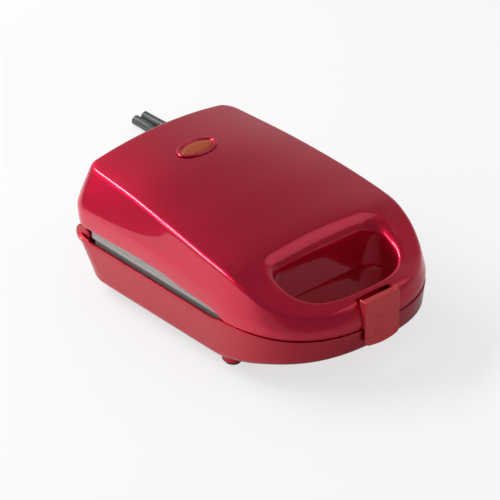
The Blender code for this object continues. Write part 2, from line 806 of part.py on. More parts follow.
def add_ears(base):
    """The base's hinge ears, each a round boss with a gusset, and the hood between them."""
    for side, name in ((-1, "left"), (1, "right")):
        middle = side * (EAR_OUTER_X - EAR_WIDTH / 2)
        join(base, cylinder("ear_" + name, (middle, HINGE_Y, HINGE_Z), EAR_RADIUS, EAR_WIDTH, "X"))
        low_z = HINGE_Z - EAR_GUSSET
        gusset = [
            (HINGE_Y, HINGE_Z - EAR_RADIUS / 2),
            (rear_wall_y(HINGE_Z - EAR_RADIUS / 2) - WALL / 2, HINGE_Z - EAR_RADIUS / 2),
            (rear_wall_y(low_z) - WALL / 2, low_z),
        ]
        start = EAR_OUTER_X - EAR_WIDTH + EAR_RIB_INSET
        ends = sorted((side * start, side * (start + EAR_RIB)))
        join(base, prism("gusset_" + name, gusset, *ends, "X"))
    hood = arc((HINGE_Y, HINGE_Z), HOOD_RADIUS, HOOD_START_ANGLE, HOOD_END_ANGLE, HOOD_STEPS)
    inner = HOOD_RADIUS - HOOD_THICKNESS
    hood += arc((HINGE_Y, HINGE_Z), inner, HOOD_END_ANGLE, HOOD_START_ANGLE, HOOD_STEPS)
    reach = LUG_INNER_X - HOOD_END_GAP
    join(base, prism("hood", hood, -reach, reach, "X"))


def cut_lug_notches(base):
    """Slots in the base's rear wall that the lid's lugs swing through."""
    for side, name in ((-1, "left"), (1, "right")):
        ends = sorted((side * (LUG_INNER_X - LUG_GAP / 2), side * (LUG_OUTER_X + LUG_GAP / 2)))
        low = (ends[0], HINGE_Y + LUG_NECK, HINGE_Z - LUG_NOTCH_DEPTH)
        high = (ends[1], REAR_Y + CUT_OVERRUN, SEAM_Z + CUT_OVERRUN)
        cut(base, box("lug_notch_" + name, low, high))


def pin_bore(name, side):
    low, high = LUG_INNER_X - LUG_WIDTH, EAR_OUTER_X + JOIN_DEPTH
    radius = HINGE_PIN_DIAMETER / 2 + BORE_CLEARANCE
    centre = (side * (low + high) / 2, HINGE_Y, HINGE_Z)
    return cylinder(name, centre, radius, high - low, "X", PIN_SEGMENTS)


def add_lugs(lid):
    """The lid's hinge lugs: a disc on the axis, a neck and a block that joins the rear wall."""
    block_rear = HINGE_INSET - LID_TUCK - WALL + JOIN_DEPTH
    for side, name in ((-1, "left"), (1, "right")):
        outline = arc((HINGE_Y, HINGE_Z), LUG_RADIUS, LUG_START_ANGLE, LUG_END_ANGLE, LUG_STEPS)
        low = HINGE_Z + LUG_BLOCK_START
        outline.append((HINGE_Y + LUG_NECK, low))
        outline.append((HINGE_Y + block_rear, low))
        outline.append((HINGE_Y + block_rear, low + LUG_BLOCK_HEIGHT))
        outline.append((HINGE_Y - LUG_NECK, low + LUG_BLOCK_HEIGHT / 2))
        ends = sorted((side * LUG_INNER_X, side * LUG_OUTER_X))
        join(lid, prism("lug_" + name, outline, *ends, "X"))
        cut(lid, pin_bore("lug_bore_" + name, side))


def make_hinge_pins():
    inner = LUG_INNER_X - LUG_GAP / 2
    for side, name in ((-1, "left"), (1, "right")):
        centre = (side * (inner + EAR_OUTER_X) / 2, HINGE_Y, HINGE_Z)
        length = EAR_OUTER_X - inner
        cylinder("hinge_pin_" + name, centre, HINGE_PIN_DIAMETER / 2, length, "X", PIN_SEGMENTS, "steel")


def latch_section(across):
    """Side view of the latch at a share of its half width: top block, face, flared lip, hook and hub."""
    ease = LATCH_EDGE if abs(across) == 1.0 else 0.0
    face = FRONT_Y - LATCH_FACE_REACH + ease
    back = FRONT_Y - LATCH_FACE_REACH + LATCH_THICKNESS
    top = SEAM_Z + LATCH_TOP - ease
    flare = (LATCH_REACH - LATCH_FACE_REACH) * (1 - across ** 2)
    straight = SEAM_Z - LATCH_STRAIGHT
    lip = SEAM_Z - LATCH_LIP + LATCH_LIP_RISE * across ** 2 + ease
    corner = (face + LATCH_TOP_ROUND, top - LATCH_TOP_ROUND)
    points = arc(corner, LATCH_TOP_ROUND, math.pi / 2, math.pi, LATCH_TOP_STEPS)
    for down, forward in LATCH_LIP_SHARES:
        points.append((face - flare * forward, blend(straight, lip, down)))
    hook = FRONT_Y - TOUCH_GAP
    hook_top = SEAM_Z - CATCH_TOP - CATCH_HEIGHT - TOUCH_GAP
    points.append((hook - LATCH_HOOK_ROUND, lip))
    points.append((hook, lip + LATCH_HOOK_ROUND))
    points.append((hook, hook_top - (hook - back)))
    points.append((back, hook_top))
    points.append((back, LATCH_PIVOT_Z - LATCH_HUB_RADIUS))
    hub = (LATCH_PIVOT_Y, LATCH_PIVOT_Z)
    points += arc(hub, LATCH_HUB_RADIUS, -math.pi / 2, math.pi / 2, LATCH_HUB_STEPS)
    points.append((back, LATCH_PIVOT_Z + LATCH_HUB_RADIUS))
    block_back = FRONT_Y + LATCH_TOP_BACK
    block_low = SEAM_Z + LATCH_TOP - LATCH_TOP_HEIGHT
    points.append((back, block_low - (block_back - back)))
    points.append((block_back, block_low))
    points.append((block_back, top))
    return points


def add_latch_ribs(latch):
    face = FRONT_Y - LATCH_FACE_REACH
    for k in range(LATCH_RIB_COUNT):
        level = SEAM_Z + LATCH_RIB_FIRST - LATCH_RIB_PITCH * k
        half = LATCH_RIB_WIDTH / 2
        narrow = half * LATCH_RIB_TOP_SHARE
        outline = [(face - LATCH_RIB_HEIGHT, level + narrow), (face - LATCH_RIB_HEIGHT, level - narrow)]
        outline += [(face, level - half), (face + JOIN_DEPTH, level - half)]
        outline += [(face + JOIN_DEPTH, level + half), (face, level + half)]
        reach = LATCH_RIB_LENGTH / 2
        join(latch, prism("latch_rib_" + str(k + 1), outline, -reach, reach, "X"))


def make_latch():
    half = LATCH_WIDTH / 2
    mesh = bmesh.new()
    places = [-share for share in LATCH_STATION_SHARES[:0:-1]] + list(LATCH_STATION_SHARES)
    loops = [[mesh.verts.new((half * place, *point)) for point in latch_section(place)] for place in places]
    bridge(mesh, loops, False, True)
    mesh.faces.new(loops[0])
    mesh.faces.new(loops[-1])
    latch = finish_mesh("latch", mesh, "red_dark")
    add_latch_ribs(latch)
    centre = (0.0, LATCH_PIVOT_Y, LATCH_PIVOT_Z)
    bore_radius = LATCH_PIN_DIAMETER / 2 + BORE_CLEARANCE
    cut(latch, cylinder("latch_bore", centre, bore_radius, LATCH_WIDTH + CUT_OVERRUN, "X", PIN_SEGMENTS))
    reach = half + LATCH_POCKET_GAP + LATCH_CHEEK
    cylinder("latch_pin", centre, LATCH_PIN_DIAMETER / 2, reach * 2, "X", PIN_SEGMENTS, "steel")


def cut_latch_pocket(lid):
    """The notch in the lid's front edge that the latch rocks in, with a cheek at each end for its pin."""
    half = LATCH_WIDTH / 2 + LATCH_POCKET_GAP
    back = FRONT_Y + LATCH_POCKET_DEPTH - WALL
    for side, name in ((-1, "left"), (1, "right")):
        ends = sorted((side * half, side * (half + LATCH_CHEEK)))
        low = (ends[0], FRONT_Y + WALL / 2, SEAM_Z + SEAM_GAP + FRAME_GAP + FRAME_THICKNESS + TOUCH_GAP)
        high = (ends[1], back + WALL, SEAM_Z + LATCH_CHEEK_HEIGHT)
        join(lid, box("latch_cheek_" + name, low, high))
    low = (-half, FRONT_Y - CUT_OVERRUN, SEAM_Z - CUT_OVERRUN)
    high = (half, FRONT_Y + LATCH_POCKET_DEPTH - WALL * 2, SEAM_Z + LATCH_TOP + CUT_OVERRUN)
    cut(lid, box("latch_pocket", low, high))
    centre = (0.0, LATCH_PIVOT_Y, LATCH_PIVOT_Z)
    length = (half + LATCH_CHEEK + CUT_OVERRUN) * 2
    bore_radius = LATCH_PIN_DIAMETER / 2 + BORE_CLEARANCE
    cut(lid, cylinder("latch_pin_bore", centre, bore_radius, length, "X", PIN_SEGMENTS))


def add_catch(base):
    """The nose on the base's front wall that the latch snaps over."""
    top = SEAM_Z - CATCH_TOP
    nose = [
        (FRONT_Y + WALL / 2, top),
        (FRONT_Y, top),
        (FRONT_Y - CATCH_REACH, top - CATCH_HEIGHT / 2),
        (FRONT_Y - CATCH_REACH, top - CATCH_HEIGHT * CATCH_UNDERCUT_SHARE),
        (FRONT_Y, top - CATCH_HEIGHT),
        (FRONT_Y + WALL / 2, top - CATCH_HEIGHT),
    ]
    join(base, prism("catch_nose", nose, -CATCH_WIDTH / 2, CATCH_WIDTH / 2, "X"))


def cup_places():
    for column in range(CUP_COLUMNS):
        for row in range(CUP_ROWS):
            x = (column - (CUP_COLUMNS - 1) / 2) * (CUP_HALF_LENGTH * 2 + CUP_WEB)
            y = PLATE_MIDDLE_Y + (row - (CUP_ROWS - 1) / 2) * (CUP_HALF_WIDTH * 2 + CUP_WEB)
            yield column * CUP_ROWS + row + 1, x, y


def cup_solid(name, x, y, level, growth, up, rise):
    """One square cup with leaning walls, grown or not, from a rise above the level down to its floor."""
    mesh = bmesh.new()
    loops = []
    heights = [(rise, 0.0)]
    for down, lean in CUP_WALL_SHARES:
        heights.append((-down * (CUP_DEPTH + growth), lean * CUP_DEPTH))
    for height, lean in heights:
        half_length, half_width = CUP_HALF_LENGTH + growth - lean, CUP_HALF_WIDTH + growth - lean
        corner = CUP_CORNER + growth - lean
        outline = rounded_outline(half_length, y - half_width, y + half_width, corner, CUP_CORNER_STEPS)
        loops.append([mesh.verts.new((x + across, along, level + up * height)) for across, along in outline])
    bridge(mesh, loops, False, True)
    mesh.faces.new(loops[0])
    mesh.faces.new(loops[-1])
    return finish_mesh(name, mesh)


def plate_outline(inset):
    low, high = PLATE_FRONT_Y + inset, PLATE_REAR_Y - inset
    return rounded_outline(PLATE_HALF_WIDTH - inset, low, high, PLATE_CORNER - inset)


def plate_face(up):
    """Height of a plate's parting face; up is 1 for the lower plate and -1 for the upper."""
    return SEAM_Z + PLATE_PARTING - up * PLATE_PARTING_GAP / 2


def make_plate(name, up):
    """A cast plate with a raised rim, a skirt and square cups."""
    parting = plate_face(up)
    back = parting - up * PLATE_RIM_HEIGHT
    plate = prism(name, plate_outline(0.0), *sorted((back, parting)), "Z", "plate")
    skirt_foot = back - up * PLATE_SKIRT_DEPTH
    skirt_inner = PLATE_SKIRT_INSET + PLATE_SKIRT_WIDTH
    loops = []
    for inset, level in (
        (PLATE_SKIRT_INSET, skirt_foot),
        (PLATE_SKIRT_INSET, back + up * JOIN_DEPTH),
        (skirt_inner, back + up * JOIN_DEPTH),
        (skirt_inner, skirt_foot),
    ):
        loops.append([(x, y, level) for x, y in plate_outline(inset)])
    join(plate, ring_solid(name + "_skirt", loops))
    face = parting - up * PLATE_FACE_DROP
    dome_rise = -(PLATE_RIM_HEIGHT - PLATE_FACE_DROP) / 2
    for number, x, y in cup_places():
        join(plate, cup_solid(name + "_dome_" + str(number), x, y, face, CUP_WALL, up, dome_rise))
    tray = prism(name + "_tray", plate_outline(PLATE_RIM_WIDTH), *sorted((face, parting + up * CUT_OVERRUN)))
    cut(plate, tray)
    for number, x, y in cup_places():
        cut(plate, cup_solid(name + "_cup_" + str(number), x, y, face, 0.0, up, CUT_OVERRUN))


def make_element(name, up):
    """A U-shaped tubular heater on the plate's back, round the cups, with its two ends towards the rear."""
    level = plate_face(up) - up * (PLATE_RIM_HEIGHT + TOUCH_GAP + ELEMENT_DIAMETER / 2)
    inset = PLATE_SKIRT_INSET + PLATE_SKIRT_WIDTH + ELEMENT_GAP + ELEMENT_DIAMETER / 2
    span = PLATE_HALF_WIDTH - inset
    front = PLATE_FRONT_Y + inset
    rear = PLATE_REAR_Y - ELEMENT_END
    route = [(-span, rear)]
    for side, start in ((-1, math.pi), (1, math.pi * 3 / 2)):
        centre = (side * (span - ELEMENT_BEND), front + ELEMENT_BEND)
        route += arc(centre, ELEMENT_BEND, start, start + math.pi / 2, ELEMENT_BEND_STEPS)
    route.append((span, rear))
    tube(name, [(x, y, level) for x, y in route], ELEMENT_DIAMETER, 2, "steel")


def tube(name, points, diameter, resolution, look):
    data = bpy.data.curves.new(name, "CURVE")
    data.dimensions = "3D"
    data.bevel_depth = diameter / 2
    data.bevel_resolution = resolution
    data.use_fill_caps = True
    spline = data.splines.new("POLY")
    spline.points.add(len(points) - 1)
    for point, place in zip(spline.points, points):
        point.co = (*place, 1.0)
    item = bpy.data.objects.new(name, data)
    PARTS.objects.link(item)
    give_material(item, look)
    return item


def shield_level(up):
    """Height of a heat shield's near face, just clear of the plate's domes."""
    return plate_face(up) - up * (PLATE_FACE_DROP + CUP_DEPTH + CUP_WALL + TOUCH_GAP)


def make_shield(name, up):
    """A shallow sheet tray between a plate's heater and the housing."""
    level = shield_level(up)
    far = level - up * SHIELD_THICKNESS
    tray = prism(name, plate_outline(SHIELD_INSET), *sorted((level, far)), "Z", "zinc")
    inner = SHIELD_INSET + SHIELD_THICKNESS
    loops = []
    for inset, height in (
        (SHIELD_INSET, -SHIELD_THICKNESS / 2),
        (SHIELD_INSET, SHIELD_DEPTH),
        (inner, SHIELD_DEPTH),
        (inner, -SHIELD_THICKNESS / 2),
    ):
        loops.append([(x, y, level + up * height) for x, y in plate_outline(inset)])
    join(tray, ring_solid(name + "_wall", loops))


def make_frame(name, low, hole_growth):
    """A flat cover that closes a shell round the finger opening, in front of the plate."""
    outer = body_outline(FRAME_INSET, FRAME_INSET, FRAME_INSET)
    hole = opening_outline(hole_growth)
    high = low + FRAME_THICKNESS
    corners = ((outer, low), (outer, high), (hole, high), (hole, low))
    loops = [[(x, y, z) for x, y in outline] for outline, z in corners]
    frame = ring_solid(name, loops, "red_dark")
    rear = CURVE_Y - OPENING_REAR + FRAME_REAR_MARGIN
    reach = HALF_WIDTH + CUT_OVERRUN
    trim_low = (-reach, rear, low - CUT_OVERRUN)
    trim_high = (reach, REAR_Y + CUT_OVERRUN, high + CUT_OVERRUN)
    cut(frame, box(name + "_trim", trim_low, trim_high))


def oval_ring(name, half_length, half_width, profile, centre, look=None):
    """An oval ring or, where the profile reaches the middle, an oval solid, from (inset, height) points."""
    mesh = bmesh.new()
    loops = []
    for inset, height in profile:
        loop = []
        for step in range(OVAL_SEGMENTS):
            angle = 2 * math.pi * step / OVAL_SEGMENTS
            x = (half_length - inset) * math.cos(angle)
            y = (half_width - inset) * math.sin(angle)
            loop.append(mesh.verts.new(Vector(centre) + Vector((x, y, height))))
        loops.append(loop)
    closed = profile[0] == profile[-1]
    bridge(mesh, loops[:-1] if closed else loops, closed, True)
    if not closed:
        mesh.faces.new(loops[0])
        mesh.faces.new(loops[-1])
    return finish_mesh(name, mesh, look)


def make_lamp(lid):
    """The oval lamp: a dished bezel in the lid, the lens in it, and the bulb in its holder below."""
    top = lid_top(0.0, LAMP_PLACE_Y)
    centre = (0.0, LAMP_PLACE_Y, top)
    neck = BEZEL_NECK
    inner = LENS_INSET - TOUCH_GAP
    bezel = (
        (0.0, BEZEL_HEIGHT / 4),
        (BEZEL_RIM / 3, BEZEL_HEIGHT),
        (BEZEL_RIM, BEZEL_HEIGHT),
        (inner, 0.0),
        (inner, -BEZEL_SINK),
        (neck, -BEZEL_SINK),
        (neck, TOUCH_GAP / 3),
        (0.0, BEZEL_HEIGHT / 4),
    )
    oval_ring("lamp_bezel", BEZEL_HALF_LENGTH, BEZEL_HALF_WIDTH, bezel, centre, "red_shell")
    hole = ((neck - TOUCH_GAP, -CUT_OVERRUN), (neck - TOUCH_GAP, CUT_OVERRUN))
    cut(lid, oval_ring("lamp_hole", BEZEL_HALF_LENGTH, BEZEL_HALF_WIDTH, hole, centre))
    lens_half_width = BEZEL_HALF_WIDTH - LENS_INSET
    lens = [(LENS_INSET, LENS_DOME - LENS_DEPTH), (LENS_INSET, 0.0)]
    for inward, rise in LENS_DOME_SHARES:
        lens.append((LENS_INSET + lens_half_width * inward, LENS_DOME * rise))
    oval_ring("lamp_lens", BEZEL_HALF_LENGTH, BEZEL_HALF_WIDTH, lens, centre, "amber")
    bulb_z = top - BEZEL_SINK - TOUCH_GAP - LAMP_BULB_DIAMETER / 2
    bulb_centre = (0.0, LAMP_PLACE_Y, bulb_z)
    cylinder("neon_bulb", bulb_centre, LAMP_BULB_DIAMETER / 2, LAMP_BULB_LENGTH, "X", SMALL_SEGMENTS, "glass")
    outer = neck - LAMP_HOLDER_MARGIN - LAMP_HOLDER_WALL
    inner = neck - LAMP_HOLDER_MARGIN
    ends = (LAMP_PLACE_Y - BEZEL_HALF_WIDTH, LAMP_PLACE_Y + BEZEL_HALF_WIDTH)
    rim_z = min(lid_top(BEZEL_HALF_LENGTH, end) for end in ends) - top - WALL - TOUCH_GAP
    floor_z = bulb_z - top - LAMP_BULB_DIAMETER / 2 - TOUCH_GAP
    body = ((outer, floor_z - LAMP_HOLDER_FLOOR), (outer, rim_z))
    holder = oval_ring("lamp_holder", BEZEL_HALF_LENGTH, BEZEL_HALF_WIDTH, body, centre, "cream_plastic")
    hollow = ((inner, floor_z), (inner, CUT_OVERRUN))
    cut(holder, oval_ring("lamp_holder_hollow", BEZEL_HALF_LENGTH, BEZEL_HALF_WIDTH, hollow, centre))


def make_electrics():
    """The thermostat and the thermal fuse under the lower heat shield, and the terminal block on the base."""
    shield_low = shield_level(1) - SHIELD_THICKNESS - TOUCH_GAP
    centre = (0.0, PLATE_MIDDLE_Y, shield_low - THERMOSTAT_HEIGHT / 2)
    cylinder("thermostat", centre, THERMOSTAT_DIAMETER / 2, THERMOSTAT_HEIGHT, look="brass")
    centre = (0.0, PLATE_MIDDLE_Y - THERMOSTAT_DIAMETER, shield_low - FUSE_DIAMETER / 2)
    cylinder("thermal_fuse", centre, FUSE_DIAMETER / 2, FUSE_LENGTH, "X", SMALL_SEGMENTS, "glass")
    length, width, height = TERMINAL_SIZE
    floor = SEAM_Z - BASE_DEPTH + WALL + TOUCH_GAP
    right, rear = CORD_EXIT_X - length / 2, REAR_Y - FOOT_REAR_MARGIN - width / 2
    low = (right - length, rear - width, floor)
    box("terminal_block", low, (right, rear, floor + height), "cream_plastic")


def add_bosses(base):
    """Screw bosses on the base's floor under the shield, each with a screw let into the underside."""
    low = SEAM_Z - BASE_DEPTH
    high = shield_level(1) - SHIELD_THICKNESS - TOUCH_GAP
    for number, (x, y) in enumerate(foot_places().values(), 1):
        inward = x - math.copysign(BOSS_INSET, x)
        along = y + BOSS_SHIFT if y < PLATE_MIDDLE_Y else y - BOSS_SHIFT
        foot = low + JOIN_DEPTH
        centre = (inward, along, (foot + high) / 2)
        join(base, cylinder("boss_" + str(number), centre, BASE_BOSS_DIAMETER / 2, high - foot))
        recess_depth = BASE_SCREW_HEIGHT + TOUCH_GAP
        radius = BASE_SCREW_DIAMETER / 2 + BORE_CLEARANCE
        centre = (inward, along, low + recess_depth - CUT_OVERRUN / 2)
        cut(base, cylinder("screw_recess_" + str(number), centre, radius, CUT_OVERRUN, "Z", PIN_SEGMENTS))
        centre = (inward, along, low + BASE_SCREW_HEIGHT / 2)
        radius = BASE_SCREW_DIAMETER / 2
        cylinder("base_screw_" + str(number), centre, radius, BASE_SCREW_HEIGHT, "Z", PIN_SEGMENTS, "steel")


def cut_vents(base):
    low = SEAM_Z - BASE_DEPTH - CUT_OVERRUN
    high = SEAM_Z - BASE_DEPTH + WALL + JOIN_DEPTH
    for k in range(VENT_COUNT):
        x = (k - (VENT_COUNT - 1) / 2) * VENT_PITCH
        y = CURVE_Y + VENT_Y
        half, ends = VENT_WIDTH / 2, VENT_LENGTH / 2
        outline = rounded_outline(half, y - ends, y + ends, half * VENT_ROUND_SHARE, VENT_ROUND_STEPS)
        outline = [(x + across, along) for across, along in outline]
        cut(base, prism("vent_" + str(k + 1), outline, low, high))


def make_relief(base):
    """The tapered, grooved strain relief, with its head behind the base's rear wall."""
    centre = (CORD_EXIT_X, rear_wall_y(CORD_EXIT_HEIGHT), CORD_EXIT_HEIGHT)
    hole_radius = RELIEF_ROOT_DIAMETER / 2 + BORE_CLEARANCE
    cut(base, cylinder("cord_hole", centre, hole_radius, CUT_OVERRUN * 2, "Y"))
    head_end = -(WALL + RELIEF_HEAD_SINK)
    profile = [(0.0, head_end - RELIEF_HEAD), (RELIEF_HEAD_DIAMETER / 2, head_end - RELIEF_HEAD)]
    profile += [(RELIEF_HEAD_DIAMETER / 2, head_end), (RELIEF_ROOT_DIAMETER / 2, head_end)]
    first = RELIEF_LENGTH * RELIEF_PLAIN_SHARE
    pitch = (RELIEF_LENGTH - first) / (RELIEF_RIB_COUNT + 1 / 2)
    for k in range(RELIEF_RIB_COUNT):
        start = first + pitch * k
        for step, depth in RELIEF_GROOVE_SHARES:
            along = start + pitch * step
            radius = blend(RELIEF_ROOT_DIAMETER, RELIEF_TIP_DIAMETER, along / RELIEF_LENGTH) / 2
            profile.append((radius - depth * RELIEF_GROOVE, along))
    profile += [(RELIEF_TIP_DIAMETER / 2, RELIEF_LENGTH), (0.0, RELIEF_LENGTH)]
    turned("strain_relief", profile, centre, PIN_SEGMENTS, look="rubber")


def route_place(point):
    return Vector((CORD_EXIT_X, REAR_Y, 0.0)) + Vector(point)


def smooth_route(points, spacing):
    """Even points along a smooth curve through the route, with its first and last run kept straight."""
    places = [route_place(point) for point in points]
    fine = []
    for k in range(1, len(places) - 2):
        a, b, c, d = places[k - 1 : k + 3]
        for step in range(ROUTE_FINE_STEPS):
            t = step / ROUTE_FINE_STEPS
            bend = (2 * a - 5 * b + 4 * c - d) * t ** 2 + (3 * b - a - 3 * c + d) * t ** 3
            fine.append(b + ((c - a) * t + bend) / 2)
    fine.append(places[-2])
    lengths = [0.0]
    for a, b in zip(fine, fine[1:]):
        lengths.append(lengths[-1] + (b - a).length)
    count = round(lengths[-1] / spacing)
    even = [places[0]]
    for k in range(count + 1):
        target = lengths[-1] * k / count
        j = min(len(fine) - 2, sum(length <= target for length in lengths) - 1)
        even.append(fine[j].lerp(fine[j + 1], (target - lengths[j]) / (lengths[j + 1] - lengths[j])))
    even.append(places[-1])
    return even


def route_length(points):
    return sum((b - a).length for a, b in zip(points, points[1:]))


def coil_points():
    """The coil's centre line: in at the left, clockwise, spiralling in, up a layer, and out again."""
    middle = COIL_TURNS / 2
    near = COIL_CROSSING_TURNS
    count = round(COIL_TURNS * COIL_POINTS)
    x, y = CORD_EXIT_X + COIL_PLACE[0], REAR_Y + COIL_PLACE[1]
    points = [Vector((x - COIL_OUTER_RADIUS, y - CORD_DIAMETER, CORD_FLOOR))]
    for k in range(count + 1):
        turn = COIL_TURNS * k / count
        away = abs(turn - middle)
        spread = away if away > near else (near + away * away / near) / 2
        radius = COIL_OUTER_RADIUS - COIL_STEP * (middle - spread)
        climb = min(1.0, max(0.0, (turn - middle + near) / (near * 2)))
        height = CORD_FLOOR + COIL_LAYER * climb * climb * (3 - 2 * climb)
        angle = math.pi - turn * 2 * math.pi
        points.append(Vector((x + radius * math.cos(angle), y + radius * math.sin(angle), height)))
    heading = Vector((math.sin(angle), -math.cos(angle), 0.0))
    points.append(points[-1] + heading * CORD_DIAMETER)
    return points


def least_self_gap(points, diameter):
    """Least distance between the surfaces of parts of a tube that are more than a quarter turn apart."""
    apart = COIL_POINTS // 4
    gaps = [
        (points[j] - points[k]).length - diameter
        for j in range(len(points))
        for k in range(j + apart, len(points))
    ]
    return min(gaps)


def make_cord():
    out_points = smooth_route(CORD_OUT_ROUTE, ROUTE_SPACING)
    back_points = smooth_route(CORD_BACK_ROUTE, ROUTE_SPACING)
    coil = coil_points()
    length = sum(route_length(points) for points in (out_points, coil, back_points))
    tube("cord_out", out_points, CORD_DIAMETER, 2, "cord")
    tube("cord_coil", coil, CORD_DIAMETER, 1, "cord")
    tube("cord_back", back_points, CORD_DIAMETER, 2, "cord")
    print("cord length", round(length, 4))
    print("coil's least gap to itself", round(least_self_gap(coil, CORD_DIAMETER), 5))


def make_plug():
    """A moulded plug lying on the floor at the end of the cord, its two flat blades towards the front."""
    x, start, height = route_place(CORD_BACK_ROUTE[-1])
    start -= TOUCH_GAP
    mesh = bmesh.new()
    loops = []
    for along, wide, high, corner in PLUG_SHARES:
        half_x, half_z = PLUG_WIDTH / 2 * wide, PLUG_HEIGHT / 2 * high
        radius = PLUG_HEIGHT / 2 * corner * PLUG_ROUND_SHARE
        loop = rounded_outline(half_x, -half_z, half_z, radius, PLUG_CORNER_STEPS)
        back = start - PLUG_LENGTH * along
        loops.append([mesh.verts.new((x + across, back, height + up)) for across, up in loop])
    bridge(mesh, loops, False, True)
    mesh.faces.new(loops[0])
    mesh.faces.new(loops[-1])
    finish_mesh("plug_body", mesh, "cord")
    face = start - PLUG_LENGTH - TOUCH_GAP
    for side, name in ((-1, "left"), (1, "right")):
        middle = x + side * BLADE_SPACING / 2
        low = (middle - BLADE_THICKNESS / 2, face - BLADE_LENGTH, height - BLADE_WIDTH / 2)
        high = (middle + BLADE_THICKNESS / 2, face, height + BLADE_WIDTH / 2)
        box("plug_blade_" + name, low, high, "steel")


def carry(name, place, pieces):
    """An empty on a joint's axis that carries the pieces that turn about it."""
    axis = bpy.data.objects.new(name, None)
    axis.location = place
    PARTS.objects.link(axis)
    for piece in pieces:
        item = bpy.data.objects[piece]
        item.parent = axis
        item.matrix_parent_inverse = Matrix.Translation(axis.location).inverted()


def make_model():
    lid = make_lid_shell()
    add_lugs(lid)
    cut_latch_pocket(lid)
    make_lamp(lid)
    base = make_base_shell()
    add_feet(base)
    add_ears(base)
    cut_lug_notches(base)
    for side, name in ((-1, "left"), (1, "right")):
        cut(base, pin_bore("ear_bore_" + name, side))
    add_catch(base)
    add_bosses(base)
    cut_vents(base)
    make_relief(base)
    make_hinge_pins()
    make_latch()
    for name, up in (("lower_plate", 1), ("upper_plate", -1)):
        make_plate(name, up)
    for name, up in (("lower_element", 1), ("upper_element", -1)):
        make_element(name, up)
    for name, up in (("lower_shield", 1), ("upper_shield", -1)):
        make_shield(name, up)
    frame_growth = OPENING_DRAFT + WALL + FRAME_GAP
    make_frame("lid_frame", SEAM_Z + SEAM_GAP + FRAME_GAP, frame_growth)
    make_frame("base_frame", SEAM_Z - FRAME_GAP - FRAME_THICKNESS, frame_growth + BASE_OPENING_GROWTH)
    make_electrics()
    make_cord()
    make_plug()
    carry("lid_axis", (0.0, HINGE_Y, HINGE_Z), LID_PIECES)
    carry("latch_axis", (0.0, LATCH_PIVOT_Y, LATCH_PIVOT_Z), ("latch",))


make_model()
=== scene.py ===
"""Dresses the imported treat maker: camera, studio, cord, finer shells and the materials.

Lengths are metres. The front, with the latch, is at -Y, and the floor is at z = 0.
"""

from math import copysign, cos, pi, radians, sin, sqrt

import bmesh
import bpy
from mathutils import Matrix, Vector


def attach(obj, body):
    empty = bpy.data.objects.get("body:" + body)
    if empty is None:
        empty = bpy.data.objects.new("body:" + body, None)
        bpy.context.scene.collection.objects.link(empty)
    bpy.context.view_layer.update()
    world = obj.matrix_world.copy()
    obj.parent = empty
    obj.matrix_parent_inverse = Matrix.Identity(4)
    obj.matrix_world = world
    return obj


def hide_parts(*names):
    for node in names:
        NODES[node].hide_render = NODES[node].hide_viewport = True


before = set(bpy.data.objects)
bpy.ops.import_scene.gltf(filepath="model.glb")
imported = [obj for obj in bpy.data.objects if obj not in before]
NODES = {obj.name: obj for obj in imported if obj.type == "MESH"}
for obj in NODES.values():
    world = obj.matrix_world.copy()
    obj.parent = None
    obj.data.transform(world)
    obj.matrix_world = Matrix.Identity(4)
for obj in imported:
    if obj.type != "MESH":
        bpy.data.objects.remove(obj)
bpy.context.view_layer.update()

# Camera, found from the photograph's perspective
VIEW_AZIMUTH = radians(-41.485)
VIEW_ELEVATION = radians(31.924)
VIEW_DISTANCE = 3.3331
VIEW_TARGET = (-0.018807, -0.003707, 0.053603)
LENS_MM = 360.0
SENSOR_MM = 36.0

# Stage
FLOOR_X = (-0.78, 1.60)
FLOOR_Y = (-1.60, 0.95)
SCREEN_X = (-0.03, 0.15)
SCREEN_Y = 0.2425
SCREEN_HEIGHT = 0.125
FLOOR_COLOUR = (0.80, 0.80, 0.795)
FLOOR_ROUGHNESS = 0.9
FLOOR_SHADE_COLOUR = 0.50
FLOOR_SHADE_START = -0.115
FLOOR_SHADE_END = -0.035
FLOOR_WHITE = 0.985
FLOOR_WHITE_SHARE = 0.68
SCREEN_WHITE = 0.97
STUDIO_GLOW = 0.16
MATT_GLOW = 0.36
WALL_GLOW = 0.29
WALL_LOW_SINE = 0.20
WALL_HIGH_SINE = 0.85
WALL_DIRECTION = (0.66, 0.75, 0.0)
WALL_NEAR = 0.80
WALL_FAR = 0.20
# Name, direction, distance, width, height and radiance
SOFTBOXES = (
    ("key_rear", (-0.34, 0.62, 0.71), 1.4, 1.3, 0.30, 12.0),
    ("key_left", (-0.74, 0.42, 0.46), 1.5, 0.9, 0.30, 3.4),
    ("box_front_right", (0.56, -0.50, 0.66), 1.2, 0.9, 0.9, 0.55),
)

# Surfaces. NOISES: scale per metre and detail of the colour, the gloss and the relief.
# GLOSS: range of factors on the roughness. RELIEF: depth and strength.
WHITE = (1.0, 1.0, 1.0, 1.0)
CLEAR_IOR = 1.5
CANDY_FLAKE_SCALE = 4200.0
CANDY_NOISES = (None, (14.0, 3.0), (420.0, 2.0))
CANDY_GLOSS = (0.85, 1.2)
CANDY_RELIEF = (0.00001, 0.25)
CANDY_COAT_ROUGHNESS = 0.035
PLAIN_NOISE_SHARES = ((1.0, 3.0), (0.3, 3.0), (3.0, 2.0))
PLAIN_GLOSS = (0.85, 1.15)
PLAIN_STRENGTH = 0.6
BRUSHED_NOISE = (600.0, 3.0)
BRUSHED_GLOSS = (0.7, 1.4)
BRUSHED_RELIEF = (0.00003, 0.5)
CLEAR_DETAIL = 2.0
CLEAR_GLOSS = (0.8, 1.3)
CLEAR_RELIEF = (0.00004, 0.4)

